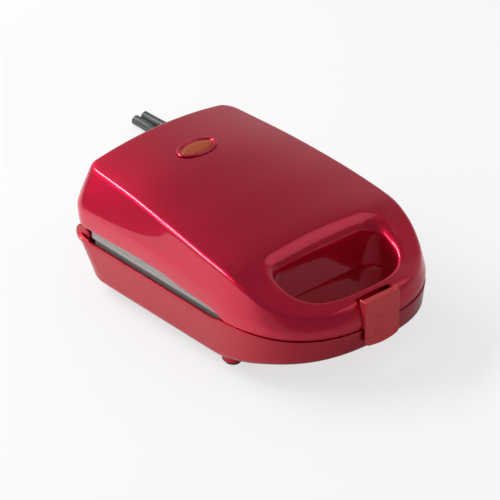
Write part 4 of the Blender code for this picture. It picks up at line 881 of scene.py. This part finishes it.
def lid_skin():
    crease = []
    for x, y in body_outline(0.0, LID_FRONT_INSET, LID_REAR_INSET, LID_CORNER_RADIUS):
        x *= read_along(LID_STATION_SHARES, y, 3)
        crease.append(Vector((x, y, lid_top(x, y))))
    widest = []
    for (x, y), top in zip(body_outline(), crease):
        widest.append(Vector((x, y, blend(lid_edge(y), top.z, LID_WIDEST_SHARE))))
    tucked = body_outline(LID_TUCK, LID_TUCK, LID_TUCK)
    rings = []
    for k in range(LID_TUCK_STEPS, 0, -1):
        share = k / LID_TUCK_STEPS
        ring = []
        for place, (x, y) in zip(widest, tucked):
            level = blend(place.z, lid_edge(y), share)
            ring.append((blend(place.x, x, share ** 2), blend(place.y, y, share ** 2), level))
        rings.append(ring)
    ends = [1 - LID_EDGE_RADIUS / (top - low).length for low, top in zip(widest, crease)]
    for k in range(LID_WALL_STEPS + 1):
        ring = []
        for low, top, end in zip(widest, crease, ends):
            rise = end * k / LID_WALL_STEPS
            rearward = min(1.0, length_share(low.y) / LID_FRONT_WALL_SHARE)
            lean = rise ** blend(LID_FRONT_WALL_POWER, LID_WALL_POWER, rearward)
            place = low.lerp(top, lean)
            ring.append(Vector((place.x, place.y, blend(low.z, top.z, rise))))
        rings.append(ring)
    below = rings[-1]
    inside = []
    for top in crease:
        inward = (Vector((0.0, CURVE_Y)) - top.xy).normalized() * LID_EDGE_RADIUS
        x, y = top.xy + inward
        inside.append(Vector((x, y, lid_top(x, y))))
    for k in range(1, LID_EDGE_STEPS + 1):
        t = k / LID_EDGE_STEPS
        triples = zip(below, crease, inside)
        rings.append([a * (1 - t) ** 2 + b * (2 * t * (1 - t)) + c * t * t for a, b, c in triples])
    wall = opening_outline()
    rim = []
    for (x, y), (far_x, far_y) in zip(wall, opening_outline(OPENING_REAR_FILLET)):
        reach = rim_fillet(y) / OPENING_REAR_FILLET
        rim.append((blend(x, far_x, reach), blend(y, far_y, reach)))
    for k in range(1, LID_TOP_ROWS + 1):
        rings.append(ring_between(inside, rim, k / LID_TOP_ROWS, lid_top))
    for rise, across in quarter(FILLET_STEPS)[-2::-1]:
        ring = ring_between(wall, rim, 1 - across, lid_top)
        drops = [rim_fillet(y) * (1 - rise) for _, y in wall]
        rings.append([(x, y, top - down) for (x, y, top), down in zip(ring, drops)])
    foot = [(x, y, SEAM_Z + SEAM_GAP) for x, y in opening_outline(OPENING_DRAFT)]
    rings += rings_between(rings[-1], foot, OPENING_WALL_ROWS)
    return lofted("lid_skin", rings, capped=False)


def lid_lugs():
    block_rear = REAR_Y - LID_TUCK - WALL + JOIN_DEPTH
    low, high = HINGE_Z + LUG_BLOCK_START, HINGE_Z + LUG_BLOCK_START + LUG_BLOCK_HEIGHT
    outline = arc(HINGE, LUG_RADIUS, LUG_START_ANGLE, LUG_END_ANGLE, LUG_STEPS)
    outline += [(HINGE_Y + LUG_NECK, low), (block_rear, low), (block_rear, high)]
    outline.append((HINGE_Y - LUG_NECK, (low + high) / 2))
    ranges = both_sides(LUG_INNER_X, LUG_OUTER_X)
    return [edged(prism("lug", outline, *ends)) for ends in ranges]


def latch_cheeks():
    inner = LATCH_HALF_WIDTH + LATCH_POCKET_GAP
    cheeks = []
    for left, right in both_sides(inner, inner + LATCH_CHEEK):
        low = (left, LATCH_CHEEK_FRONT, LATCH_CHEEK_LOW)
        cheeks.append(box("cheek", low, (right, LATCH_CHEEK_BACK, LATCH_CHEEK_HIGH)))
    return cheeks


def open_pocket(skin):
    """Takes the latch's pocket out of the lid's open skin."""
    mesh = bmesh.new()
    mesh.from_mesh(skin.data)
    half = LATCH_HALF_WIDTH + LATCH_POCKET_GAP
    limit = LATCH_POCKET_BACK + CUT_OVERRUN
    across, along = (1.0, 0.0, 0.0), (0.0, 1.0, 0.0)
    back = LATCH_POCKET_BACK
    for x, y, normal in ((half, 0.0, across), (-half, 0.0, across), (0.0, back, along)):
        near = [face for face in mesh.faces if face.calc_center_median().y < limit]
        parts = {part for face in near for part in (*face.verts, *face.edges)}
        geom = near + list(parts)
        bmesh.ops.bisect_plane(mesh, geom=geom, plane_co=(x, y, 0.0), plane_no=normal)
    taken = []
    for face in mesh.faces:
        middle = face.calc_center_median()
        if abs(middle.x) < half and middle.y < LATCH_POCKET_BACK:
            taken.append(face)
    bmesh.ops.delete(mesh, geom=taken, context="FACES")
    mesh.to_mesh(skin.data)
    mesh.free()


def make_lid(material):
    skin = lid_skin()
    open_pocket(skin)
    solidify(skin)
    bevel(skin, *SKIN_EDGE)
    bake(skin)
    merge(skin, lid_lugs() + latch_cheeks())
    place_piece(skin, material, "lid", "shell", "lid_shell")


# Base

def base_skin():
    def ring(first, second, share, lift=0.0):
        return ring_between(first, second, share, lambda x, y: base_bottom(y) + lift)

    growth = OPENING_DRAFT + BASE_OPENING_GROWTH
    rings = [[(x, y, SEAM_Z) for x, y in opening_outline(growth)]]
    foot = [(x, y, base_bottom(y) + WALL) for x, y in opening_outline(growth - OPENING_DRAFT / 2)]
    rings += rings_between(rings[0], foot, OPENING_WALL_ROWS)
    under = opening_outline(growth + WALL)
    for rise, across in quarter(BASE_UNDER_STEPS)[1:]:
        rings.append(ring(foot, under, 1 - across, WALL * (1 - rise)))
    inset, rear_inset = BASE_DRAFT + BASE_EDGE_RADIUS, BASE_REAR_LEAN + BASE_EDGE_RADIUS
    inner = body_outline(inset, inset, rear_inset, BASE_CORNER_RADIUS - BASE_EDGE_RADIUS)
    outer = body_outline(BASE_DRAFT, BASE_DRAFT, BASE_REAR_LEAN, BASE_CORNER_RADIUS)
    rings += [ring(under, inner, k / BASE_FLOOR_ROWS) for k in range(1, BASE_FLOOR_ROWS)]
    for out, down in quarter(BASE_EDGE_STEPS):
        rings.append(ring(inner, outer, out, BASE_EDGE_RADIUS * (1 - down)))
    rim = [(x, y, base_rim(y)) for x, y in body_outline()]
    rings += rings_between(rings[-1], rim, BASE_WALL_STEPS)
    return lofted("base_skin", rings, capped=False)


def boss_places():
    for x, y in FOOT_PLACES.values():
        shift = BOSS_SHIFT if y < 0 else -BOSS_SHIFT
        yield x - copysign(BOSS_INSET, x), y + shift


def base_cutters():
    """Vents, screw recesses, the cord's hole and the slots that the lid's lugs swing through."""
    low = SEAM_Z - BASE_DEPTH
    cutters = []
    for k in range(VENT_COUNT):
        x = (k - (VENT_COUNT - 1) / 2) * VENT_PITCH
        half, ends = VENT_WIDTH / 2, VENT_LENGTH / 2
        corner = half * VENT_CORNER_SHARE
        outline = rounded_outline(half, VENT_Y - ends, VENT_Y + ends, corner, VENT_CORNER_STEPS)
        outline = [(x + across, along) for across, along in outline]
        cutters.append(prism("vent", outline, low - CUT_OVERRUN, low + WALL + JOIN_DEPTH, "Z"))
    for x, y in boss_places():
        centre = (x, y, low + SCREW_HEIGHT + TOUCH_GAP - CUT_OVERRUN / 2)
        cutters.append(rod("recess", centre, SCREW_RADIUS + TOUCH_GAP, CUT_OVERRUN))
    hole_radius = RELIEF_ROOT_RADIUS + TOUCH_GAP
    cutters.append(rod("cord_hole", RELIEF_PLACE, hole_radius, CUT_OVERRUN * 2, "Y"))
    for left, right in both_sides(LUG_INNER_X - LUG_GAP / 2, LUG_OUTER_X + LUG_GAP / 2):
        near = (left, HINGE_Y + LUG_NECK, HINGE_Z - LUG_NOTCH_DEPTH)
        cutters.append(box("notch", near, (right, REAR_Y + CUT_OVERRUN, SEAM_Z + CUT_OVERRUN)))
    return merge(cutters[0], cutters[1:])


def base_additions():
    """Feet, hinge ears with gussets, the hood between them, the catch and the screw bosses."""
    pieces = []
    for x, y in FOOT_PLACES.values():
        high = base_bottom(y) + JOIN_DEPTH
        centre = (x, y, (FOOT_PAD_HEIGHT + high) / 2)
        foot = rod("foot", centre, FOOT_RADIUS, high - FOOT_PAD_HEIGHT)
        pieces.append(edged(foot, *FOOT_EDGE))
    high, low = HINGE_Z - EAR_RADIUS / 2, HINGE_Z - EAR_GUSSET
    gusset = [(HINGE_Y, high)] + [(rear_wall_y(z) - WALL / 2, z) for z in (high, low)]
    middle, start = EAR_OUTER_X - EAR_WIDTH / 2, EAR_OUTER_X - EAR_WIDTH + EAR_RIB_INSET
    for side, ends in zip((-1, 1), both_sides(start, start + EAR_RIB)):
        centre = (side * middle, HINGE_Y, HINGE_Z)
        ear = rod("ear", centre, EAR_RADIUS, EAR_WIDTH, "X", EAR_SEGMENTS)
        pieces += [edged(ear, *EAR_EDGE), prism("gusset", gusset, *ends)]
    start, end = HOOD_START_ANGLE, HOOD_END_ANGLE
    hood = arc(HINGE, HOOD_RADIUS, start, end, HOOD_STEPS)
    hood += arc(HINGE, HOOD_RADIUS - HOOD_THICKNESS, end, start, HOOD_STEPS)
    reach = LUG_INNER_X - HOOD_END_GAP
    pieces.append(edged(prism("hood", hood, -reach, reach)))
    root, tip = FRONT_Y + WALL / 2, FRONT_Y - CATCH_REACH
    nose = [(root, CATCH_TOP), (FRONT_Y, CATCH_TOP), (tip, CATCH_TOP - CATCH_HEIGHT / 2)]
    nose.append((tip, CATCH_TOP - CATCH_HEIGHT * CATCH_SLOPE_SHARE))
    nose += [(y, CATCH_TOP - CATCH_HEIGHT) for y in (FRONT_Y, root)]
    pieces.append(prism("nose", nose, -CATCH_HALF_WIDTH, CATCH_HALF_WIDTH))
    low = SEAM_Z - BASE_DEPTH + SCREW_HEIGHT + JOIN_DEPTH
    for x, y in boss_places():
        pieces.append(rod("boss", (x, y, (low + BOSS_TOP) / 2), BOSS_RADIUS, BOSS_TOP - low))
    return pieces


def make_base(material):
    skin = base_skin()
    solidify(skin)
    bevel(skin, *SKIN_EDGE)
    combine(skin, base_cutters())
    bake(skin)
    merge(skin, base_additions())
    place_piece(skin, material, "base", "shell", "base_shell")


def make_feet_and_screws(rubber, steel):
    for name, (x, y) in FOOT_PLACES.items():
        height = FOOT_PAD_HEIGHT - TOUCH_GAP
        pad = rod("pad_" + name, (x, y, height / 2), FOOT_PAD_RADIUS, height)
        groove_radius = FOOT_PAD_RADIUS * FOOT_PAD_GROOVE_SHARE
        combine(pad, rod("groove", (x, y, 0.0), groove_radius, height / 2))
        edged(pad, *FOOT_PAD_EDGE)
        place_piece(pad, rubber, "base", "rubber", "foot_pad_" + name)
    low = SEAM_Z - BASE_DEPTH
    arm, long_arm = [SCREW_RADIUS * share for share in SCREW_SLOT_SHARES]
    slot_floor = low + SCREW_HEIGHT * SCREW_SLOT_FLOOR_SHARE
    for number, (x, y) in enumerate(boss_places(), 1):
        centre = (x, y, low + SCREW_HEIGHT / 2)
        screw = rod("screw_" + str(number), centre, SCREW_RADIUS, SCREW_HEIGHT)
        for across, along in ((arm, long_arm), (long_arm, arm)):
            near = (x - across, y - along, low - WALL)
            combine(screw, box("slot", near, (x + across, y + along, slot_floor)))
        edged(screw, SCREW_EDGE)
        place_piece(screw, steel, "base", "steel", "base_screw_" + str(number))


# Latch

def latch_section(across, ease, depth):
    """Side view: top block, face, flared lip, hook, hub and back."""
    face, top = LATCH_FACE + ease, LATCH_TOP - ease
    flare = (LATCH_REACH + LATCH_FACE) * (1 - across ** 2)
    lip = LATCH_LIP + LATCH_LIP_RISE * across ** 2 + ease
    into_corner = max(0.0, (abs(across) - 1) * LATCH_HALF_WIDTH + LATCH_LIP_CORNER)
    lip += LATCH_LIP_CORNER - sqrt(max(0.0, LATCH_LIP_CORNER ** 2 - into_corner ** 2))
    lip = min(lip, LATCH_HOOK_TOP - LATCH_HOOK_ROUND * 2)
    corner = (face + LATCH_TOP_ROUND, top - LATCH_TOP_ROUND)
    points = arc(corner, LATCH_TOP_ROUND, pi / 2, pi, LATCH_TOP_STEPS)
    for k in range(LATCH_FACE_STEPS + 1):
        down = 1 - (1 - k / LATCH_FACE_STEPS) ** LATCH_FACE_CROWDING
        forward = flare * read_table(LATCH_LIP_SHARES, 1, down)
        points.append((face - forward, blend(LATCH_STRAIGHT, lip, down)))
    corner = (LATCH_HOOK - LATCH_HOOK_ROUND, lip + LATCH_HOOK_ROUND)
    points += arc(corner, LATCH_HOOK_ROUND, -pi / 2, 0.0, LATCH_HOOK_STEPS)
    points.append((LATCH_HOOK, LATCH_HOOK_TOP - (LATCH_HOOK - LATCH_BACK)))
    points += [(LATCH_BACK, LATCH_HOOK_TOP), (LATCH_BACK, LATCH_RETURN_LOW)]
    deep = blend(LATCH_BACK, LATCH_RETURN, depth)
    points.append((deep, LATCH_RETURN_LOW + LATCH_EDGE))
    hub = arc(LATCH_PIVOT, LATCH_HUB_RADIUS, -pi / 2, pi / 2, LATCH_HUB_STEPS)
    points += [(max(y, deep), z) for y, z in hub]
    block_back = max(deep, LATCH_TOP_BACK)
    block_low = LATCH_TOP - LATCH_TOP_HEIGHT
    points.append((deep, block_low - (block_back - deep)))
    points += [(block_back, block_low), (block_back, top - ease)]
    return [(FRONT_Y + y, SEAM_Z + z) for y, z in points]


def latch_rib(level):
    """A short rounded bar across the latch's face, tapered at its ends."""
    face = FRONT_Y + LATCH_FACE
    root = face + JOIN_DEPTH
    loops = []
    left = [(-share, height) for share, height in LATCH_RIB_SHARES]
    for share, height in left + list(LATCH_RIB_SHARES[::-1]):
        x = LATCH_RIB_HALF_LENGTH * share
        loop = [(x, root, level - LATCH_RIB_HALF_WIDTH)]
        for k in range(LATCH_RIB_STEPS + 1):
            angle = pi * k / LATCH_RIB_STEPS
            forward = LATCH_RIB_DEPTH * height * sin(angle)
            loop.append((x, face - forward, level - LATCH_RIB_HALF_WIDTH * cos(angle)))
        loop.append((x, root, level + LATCH_RIB_HALF_WIDTH))
        loops.append(loop)
    return bake(lofted("rib", loops), RIB_SHARP_ANGLE)


def make_latch(material, steel):
    edge = LATCH_EDGE / LATCH_HALF_WIDTH
    wall = 1 - LATCH_RETURN_WIDTH / LATCH_HALF_WIDTH
    side = [(1 - edge * inward, LATCH_EDGE * ease, 1.0) for inward, ease in LATCH_EDGE_SHARES]
    side += [(wall, 0.0, 1.0), (wall - edge * LATCH_WALL_LEAN, 0.0, 0.0)]
    side += [(wall * k / LATCH_COLUMNS, 0.0, 0.0) for k in range(LATCH_COLUMNS - 1, 0, -1)]
    stations = [(-across, ease, depth) for across, ease, depth in side]
    loops = []
    for across, ease, depth in stations + [(0.0, 0.0, 0.0)] + side[::-1]:
        section = latch_section(across, ease, depth)
        loops.append([(LATCH_HALF_WIDTH * across, y, z) for y, z in section])
    latch = bake(lofted("latch_body", loops), LATCH_SHARP_ANGLE)
    merge(latch, [latch_rib(SEAM_Z + height) for height in LATCH_RIB_HEIGHTS])
    place_piece(latch, material, "latch", "dark_red", "latch")
    centre = (0.0, FRONT_Y + LATCH_PIVOT[0], SEAM_Z + LATCH_PIVOT[1])
    length = (LATCH_HALF_WIDTH - TOUCH_GAP) * 2
    pin = edged(rod("latch_axle", centre, LATCH_PIN_RADIUS, length, "X"), LATCH_PIN_EDGE)
    place_piece(pin, steel, "lid", "steel", "latch_pin")


# Lamp

def oval(name, profile):
    """A ring where the profile of (inset, height) closes, or else a capped solid."""
    x, y = LAMP_PLACE
    top = lid_top(x, y)
    closed = profile[0] == profile[-1]
    turn = circle(1.0, OVAL_SEGMENTS)
    loops = []
    for inset, height in profile[:-1] if closed else profile:
        length, width = BEZEL_HALF_LENGTH - inset, BEZEL_HALF_WIDTH - inset
        loops.append([(x + length * a, y + width * b, top + height) for a, b in turn])
    return lofted(name, loops, closed=closed)


def make_lamp(red, amber):
    inner = LENS_INSET - TOUCH_GAP
    bezel = oval("lamp_rim", (
        (0.0, BEZEL_HEIGHT / 4),
        (BEZEL_RIM / 3, BEZEL_HEIGHT),
        (BEZEL_RIM, BEZEL_HEIGHT),
        (inner, 0.0),
        (inner, -BEZEL_SINK),
        (BEZEL_NECK, -BEZEL_SINK),
        (BEZEL_NECK, TOUCH_GAP / 3),
        (0.0, BEZEL_HEIGHT / 4),
    ))
    edged(bezel, *BEZEL_EDGE)
    place_piece(bezel, red, "lid", "shell", "lamp_bezel")
    half_width = BEZEL_HALF_WIDTH - LENS_INSET
    profile = [(LENS_INSET, LENS_DOME - LENS_DEPTH), (LENS_INSET, -LENS_EDGE_DROP)]
    for rise, out in quarter(LENS_STEPS)[1:-1]:
        inset = LENS_INSET + half_width * (1 - out) * LENS_CROWN_SHARE
        profile.append((inset, LENS_DOME * rise))
    lens = bake(oval("lamp_cover", profile), EDGE_ANGLE)
    place_piece(lens, amber, "lid", "amber", "lamp_lens")


# Cooking plates

def plate_outline(inset):
    low, high = PLATE_FRONT_Y + inset, PLATE_REAR_Y - inset
    corner = PLATE_CORNER - inset
    return rounded_outline(PLATE_HALF_WIDTH - inset, low, high, corner, PLATE_CORNER_STEPS)


def cup_solid(centre, level, growth, up, rise):
    x, y = centre
    heights = [(rise, 0.0)]
    for down, lean in CUP_WALL_SHARES:
        heights.append((-down * (CUP_DEPTH + growth), lean * CUP_DEPTH))
    loops = []
    for height, lean in heights:
        grown = growth - lean
        half_width = CUP_HALF_WIDTH + grown
        ends, corner = (y - half_width, y + half_width), CUP_CORNER + grown
        outline = rounded_outline(CUP_HALF_LENGTH + grown, *ends, corner, CUP_CORNER_STEPS)
        loops.append([(x + across, along, level + up * height) for across, along in outline])
    return lofted("cup", loops)


def make_plate(name, up, body, material):
    """A cast plate with a raised rim, a skirt and square cups, all with softened edges."""
    parting = PLATE_PARTING_Z - up * TOUCH_GAP / 2
    back = parting - up * PLATE_RIM_HEIGHT
    face = parting - up * PLATE_FACE_DROP
    plate = prism(name + "_casting", plate_outline(0.0), *sorted((back, parting)), "Z")
    foot, root = back - up * PLATE_SKIRT_DEPTH, back + up * JOIN_DEPTH
    outer, inner = PLATE_SKIRT_INSET, PLATE_SKIRT_INSET + PLATE_SKIRT_WIDTH
    section = ((outer, foot), (outer, root), (inner, root), (inner, foot))
    skirt = [[(x, y, level) for x, y in plate_outline(inset)] for inset, level in section]
    added = [lofted("skirt", skirt, closed=True)]
    rise = -(PLATE_RIM_HEIGHT - PLATE_FACE_DROP) / 2
    added += [cup_solid(centre, face, CUP_WALL, up, rise) for centre in CUP_CENTRES]
    ends = sorted((face, parting + up * CUT_OVERRUN))
    taken = [prism("tray", plate_outline(PLATE_RIM_WIDTH), *ends, "Z")]
    taken += [cup_solid(centre, face, 0.0, up, CUT_OVERRUN) for centre in CUP_CENTRES]
    for other in added:
        combine(plate, other, "UNION")
    for other in taken:
        combine(plate, other)
    edged(plate, *PLATE_EDGE)
    place_piece(plate, material, body, "plate", name)


# Strain relief, plug and cord

def make_relief(material):
    profile = [(RELIEF_ROOT_RADIUS, -WALL)]
    first = RELIEF_LENGTH * RELIEF_PLAIN_SHARE
    pitch = (RELIEF_LENGTH - first) / (RELIEF_RIB_COUNT + 1 / 2)
    for k in range(RELIEF_RIB_COUNT):
        for step, depth in RELIEF_GROOVE_SHARES:
            along = first + pitch * (k + step)
            radius = blend(RELIEF_ROOT_RADIUS, RELIEF_TIP_RADIUS, along / RELIEF_LENGTH)
            profile.append((radius - depth * RELIEF_GROOVE, along))
    profile.append((RELIEF_TIP_RADIUS, RELIEF_LENGTH - RELIEF_END_LENGTH))
    profile.append((RELIEF_TIP_RADIUS - RELIEF_END_WIDTH, RELIEF_LENGTH))
    x, _, z = RELIEF_PLACE
    y = rear_wall_y(z)
    loops = []
    for radius, along in profile:
        loops.append([(x + a, y + along, z + b) for a, b in circle(radius, ROD_SEGMENTS)])
    relief = bake(lofted("relief", loops), RELIEF_SHARP_ANGLE)
    place_piece(relief, material, "base", "rubber", "strain_relief")


def make_plug(material):
    """A moulded plug lying on the floor, its blades towards the front."""
    x, start, height = route_place(CORD_BACK_ROUTE[-1])
    start -= TOUCH_GAP
    loops = []
    for k in range(PLUG_ROWS + 1):
        along = k / PLUG_ROWS
        wide, high, corner = (read_table(PLUG_SHARES, column, along) for column in (1, 2, 3))
        if k == PLUG_ROWS:
            wide, high = wide * PLUG_END_SHARE, high * PLUG_END_SHARE
        half_z = PLUG_HALF_HEIGHT * high
        radius = PLUG_HALF_HEIGHT * corner * PLUG_CORNER_SHARE
        half_width = PLUG_HALF_WIDTH * wide
        outline = rounded_outline(half_width, -half_z, half_z, radius, PLUG_CORNER_STEPS)
        y = start - PLUG_LENGTH * along
        loops.append([(x + across, y, height + up) for across, up in outline])
    plug = bake(lofted("plug_moulding", loops), PLUG_SHARP_ANGLE)
    return place_piece(plug, material, "base", "cord", "plug_body")


def route_place(point):
    return Vector((CORD_EXIT_X, REAR_Y, 0.0)) + Vector([part * CORD_UNIT for part in point])


def smooth_route(points):
    """A smooth curve through the route's points, with its first and last run kept straight."""
    places = [route_place(point) for point in points]
    fine = [places[0]]
    for k in range(1, len(places) - 2):
        a, b, c, d = places[k - 1 : k + 3]
        for step in range(ROUTE_FINE_STEPS):
            t = step / ROUTE_FINE_STEPS
            bend = (2 * a - 5 * b + 4 * c - d) * t ** 2 + (3 * b - a - 3 * c + d) * t ** 3
            fine.append(b + ((c - a) * t + bend) / 2)
    return fine + places[-2:]


def coil_points():
    """The coil's centre line: in at the left, clockwise inwards, up a layer, and out again."""
    middle = COIL_TURNS / 2
    near = COIL_CROSSING_TURNS
    count = round(COIL_TURNS * COIL_POINTS)
    centre = route_place(COIL_PLACE)
    points = []
    for k in range(count + 1):
        turn = COIL_TURNS * k / count
        away = abs(turn - middle)
        reach = away if away > near else (near + away * away / near) / 2
        radius = COIL_OUTER_RADIUS - COIL_STEP * (middle - reach)
        climb = min(1.0, max(0.0, (turn - middle + near) / (near * 2)))
        height = COIL_LAYER * climb * climb * (3 - 2 * climb)
        angle = pi - turn * 2 * pi
        points.append(centre + Vector((radius * cos(angle), radius * sin(angle), height)))
    return points


def make_cord(material):
    """One tube: out of the strain relief, round the coil and back to the plug."""
    route = smooth_route(CORD_OUT_ROUTE) + coil_points() + smooth_route(CORD_BACK_ROUTE)
    data = bpy.data.curves.new("mains_cord", "CURVE")
    data.dimensions = "3D"
    data.bevel_depth = CORD_DIAMETER / 2
    data.bevel_resolution = CORD_ROUNDNESS
    data.use_fill_caps = True
    spline = data.splines.new("POLY")
    spline.points.add(len(route) - 1)
    for point, place in zip(spline.points, route):
        point.co = (*place, 1.0)
    cord = new_object("mains_cord", data)
    place_piece(cord, material, "base", "cord", "cord_out", "cord_coil", "cord_back")
    plug = make_plug(material)


def dress(material, *names):
    for name in names:
        coat(NODES[name], material)


make_camera()
CORD_GREYS = ((0.050, 0.058, 0.055), (0.075, 0.085, 0.080))
CORD_GREY = plain("cord_grey", CORD_GREYS, 0.38, 0.0, 900.0, 0.00002)
make_cord(CORD_GREY)
make_stage()
make_world()
for row in SOFTBOXES:
    softbox(*row)

SHELL_RED = candy_red("shell_red", ((0.62, 0.0005, 0.032), (0.84, 0.002, 0.062)), 0.40, 1.0, 0.9)
# The base and its frame have the lid's red paint, made darker here: painted shade on the lower
# shell
SHADED_BASE_RED = candy_red("base_red_painted_shade", ((0.48, 0.004, 0.022), (0.66, 0.008, 0.044)), 0.42, 0.9, 0.88)
TRIM_RED = candy_red("trim_red", ((0.56, 0.030, 0.042), (0.68, 0.045, 0.060)), 0.42, 0.6, 0.55)
PLATE_GREYS = ((0.34, 0.335, 0.325), (0.42, 0.415, 0.40))
PLATE_GREY = plain("coated_plate", PLATE_GREYS, 0.42, 0.25, 700.0, 0.00003)
STEEL = brushed("bright_steel", ((0.50, 0.50, 0.49), (0.66, 0.66, 0.64)), 0.28, (0.05, 1.0, 1.0))
ZINC = brushed("zinc_sheet", ((0.42, 0.43, 0.44), (0.58, 0.59, 0.60)), 0.42, (1.0, 0.08, 1.0))
BLACKS = ((0.022, 0.022, 0.022), (0.045, 0.045, 0.043))
RUBBER = plain("black_rubber", BLACKS, 0.72, 0.0, 800.0, 0.00005)
CREAM = plain("cream_plastic", ((0.66, 0.61, 0.50), (0.75, 0.70, 0.60)), 0.48, 0.0, 500.0, 0.00003)
BRASS = brushed("brass_cup", ((0.62, 0.44, 0.16), (0.74, 0.56, 0.26)), 0.34, (1.0, 1.0, 0.1))
AMBER = clear("amber_lens", ((0.34, 0.052, 0.015), (0.47, 0.082, 0.024)), 0.24, 0.2, 260.0)
GLASS = clear("bulb_glass", ((0.86, 0.84, 0.80), (0.94, 0.92, 0.88)), 0.06, 0.9, 200.0)

make_lid(SHELL_RED)
make_base(SHADED_BASE_RED)
make_feet_and_screws(RUBBER, STEEL)
make_latch(TRIM_RED, STEEL)
make_lamp(SHELL_RED, AMBER)
make_plate("lower_plate", 1, "base", PLATE_GREY)
make_plate("upper_plate", -1, "lid", PLATE_GREY)
make_relief(RUBBER)
dress(SHADED_BASE_RED, "base_frame")
dress(SHELL_RED, "lid_frame")
dress(STEEL, "lower_element", "upper_element", "hinge_pin_left", "hinge_pin_right")
dress(STEEL, "plug_blade_left", "plug_blade_right")
dress(ZINC, "lower_shield", "upper_shield")
dress(CREAM, "terminal_block", "lamp_holder")
dress(BRASS, "thermostat")
dress(GLASS, "neon_bulb", "thermal_fuse")

bpy.context.scene.view_settings.view_transform = "Standard"
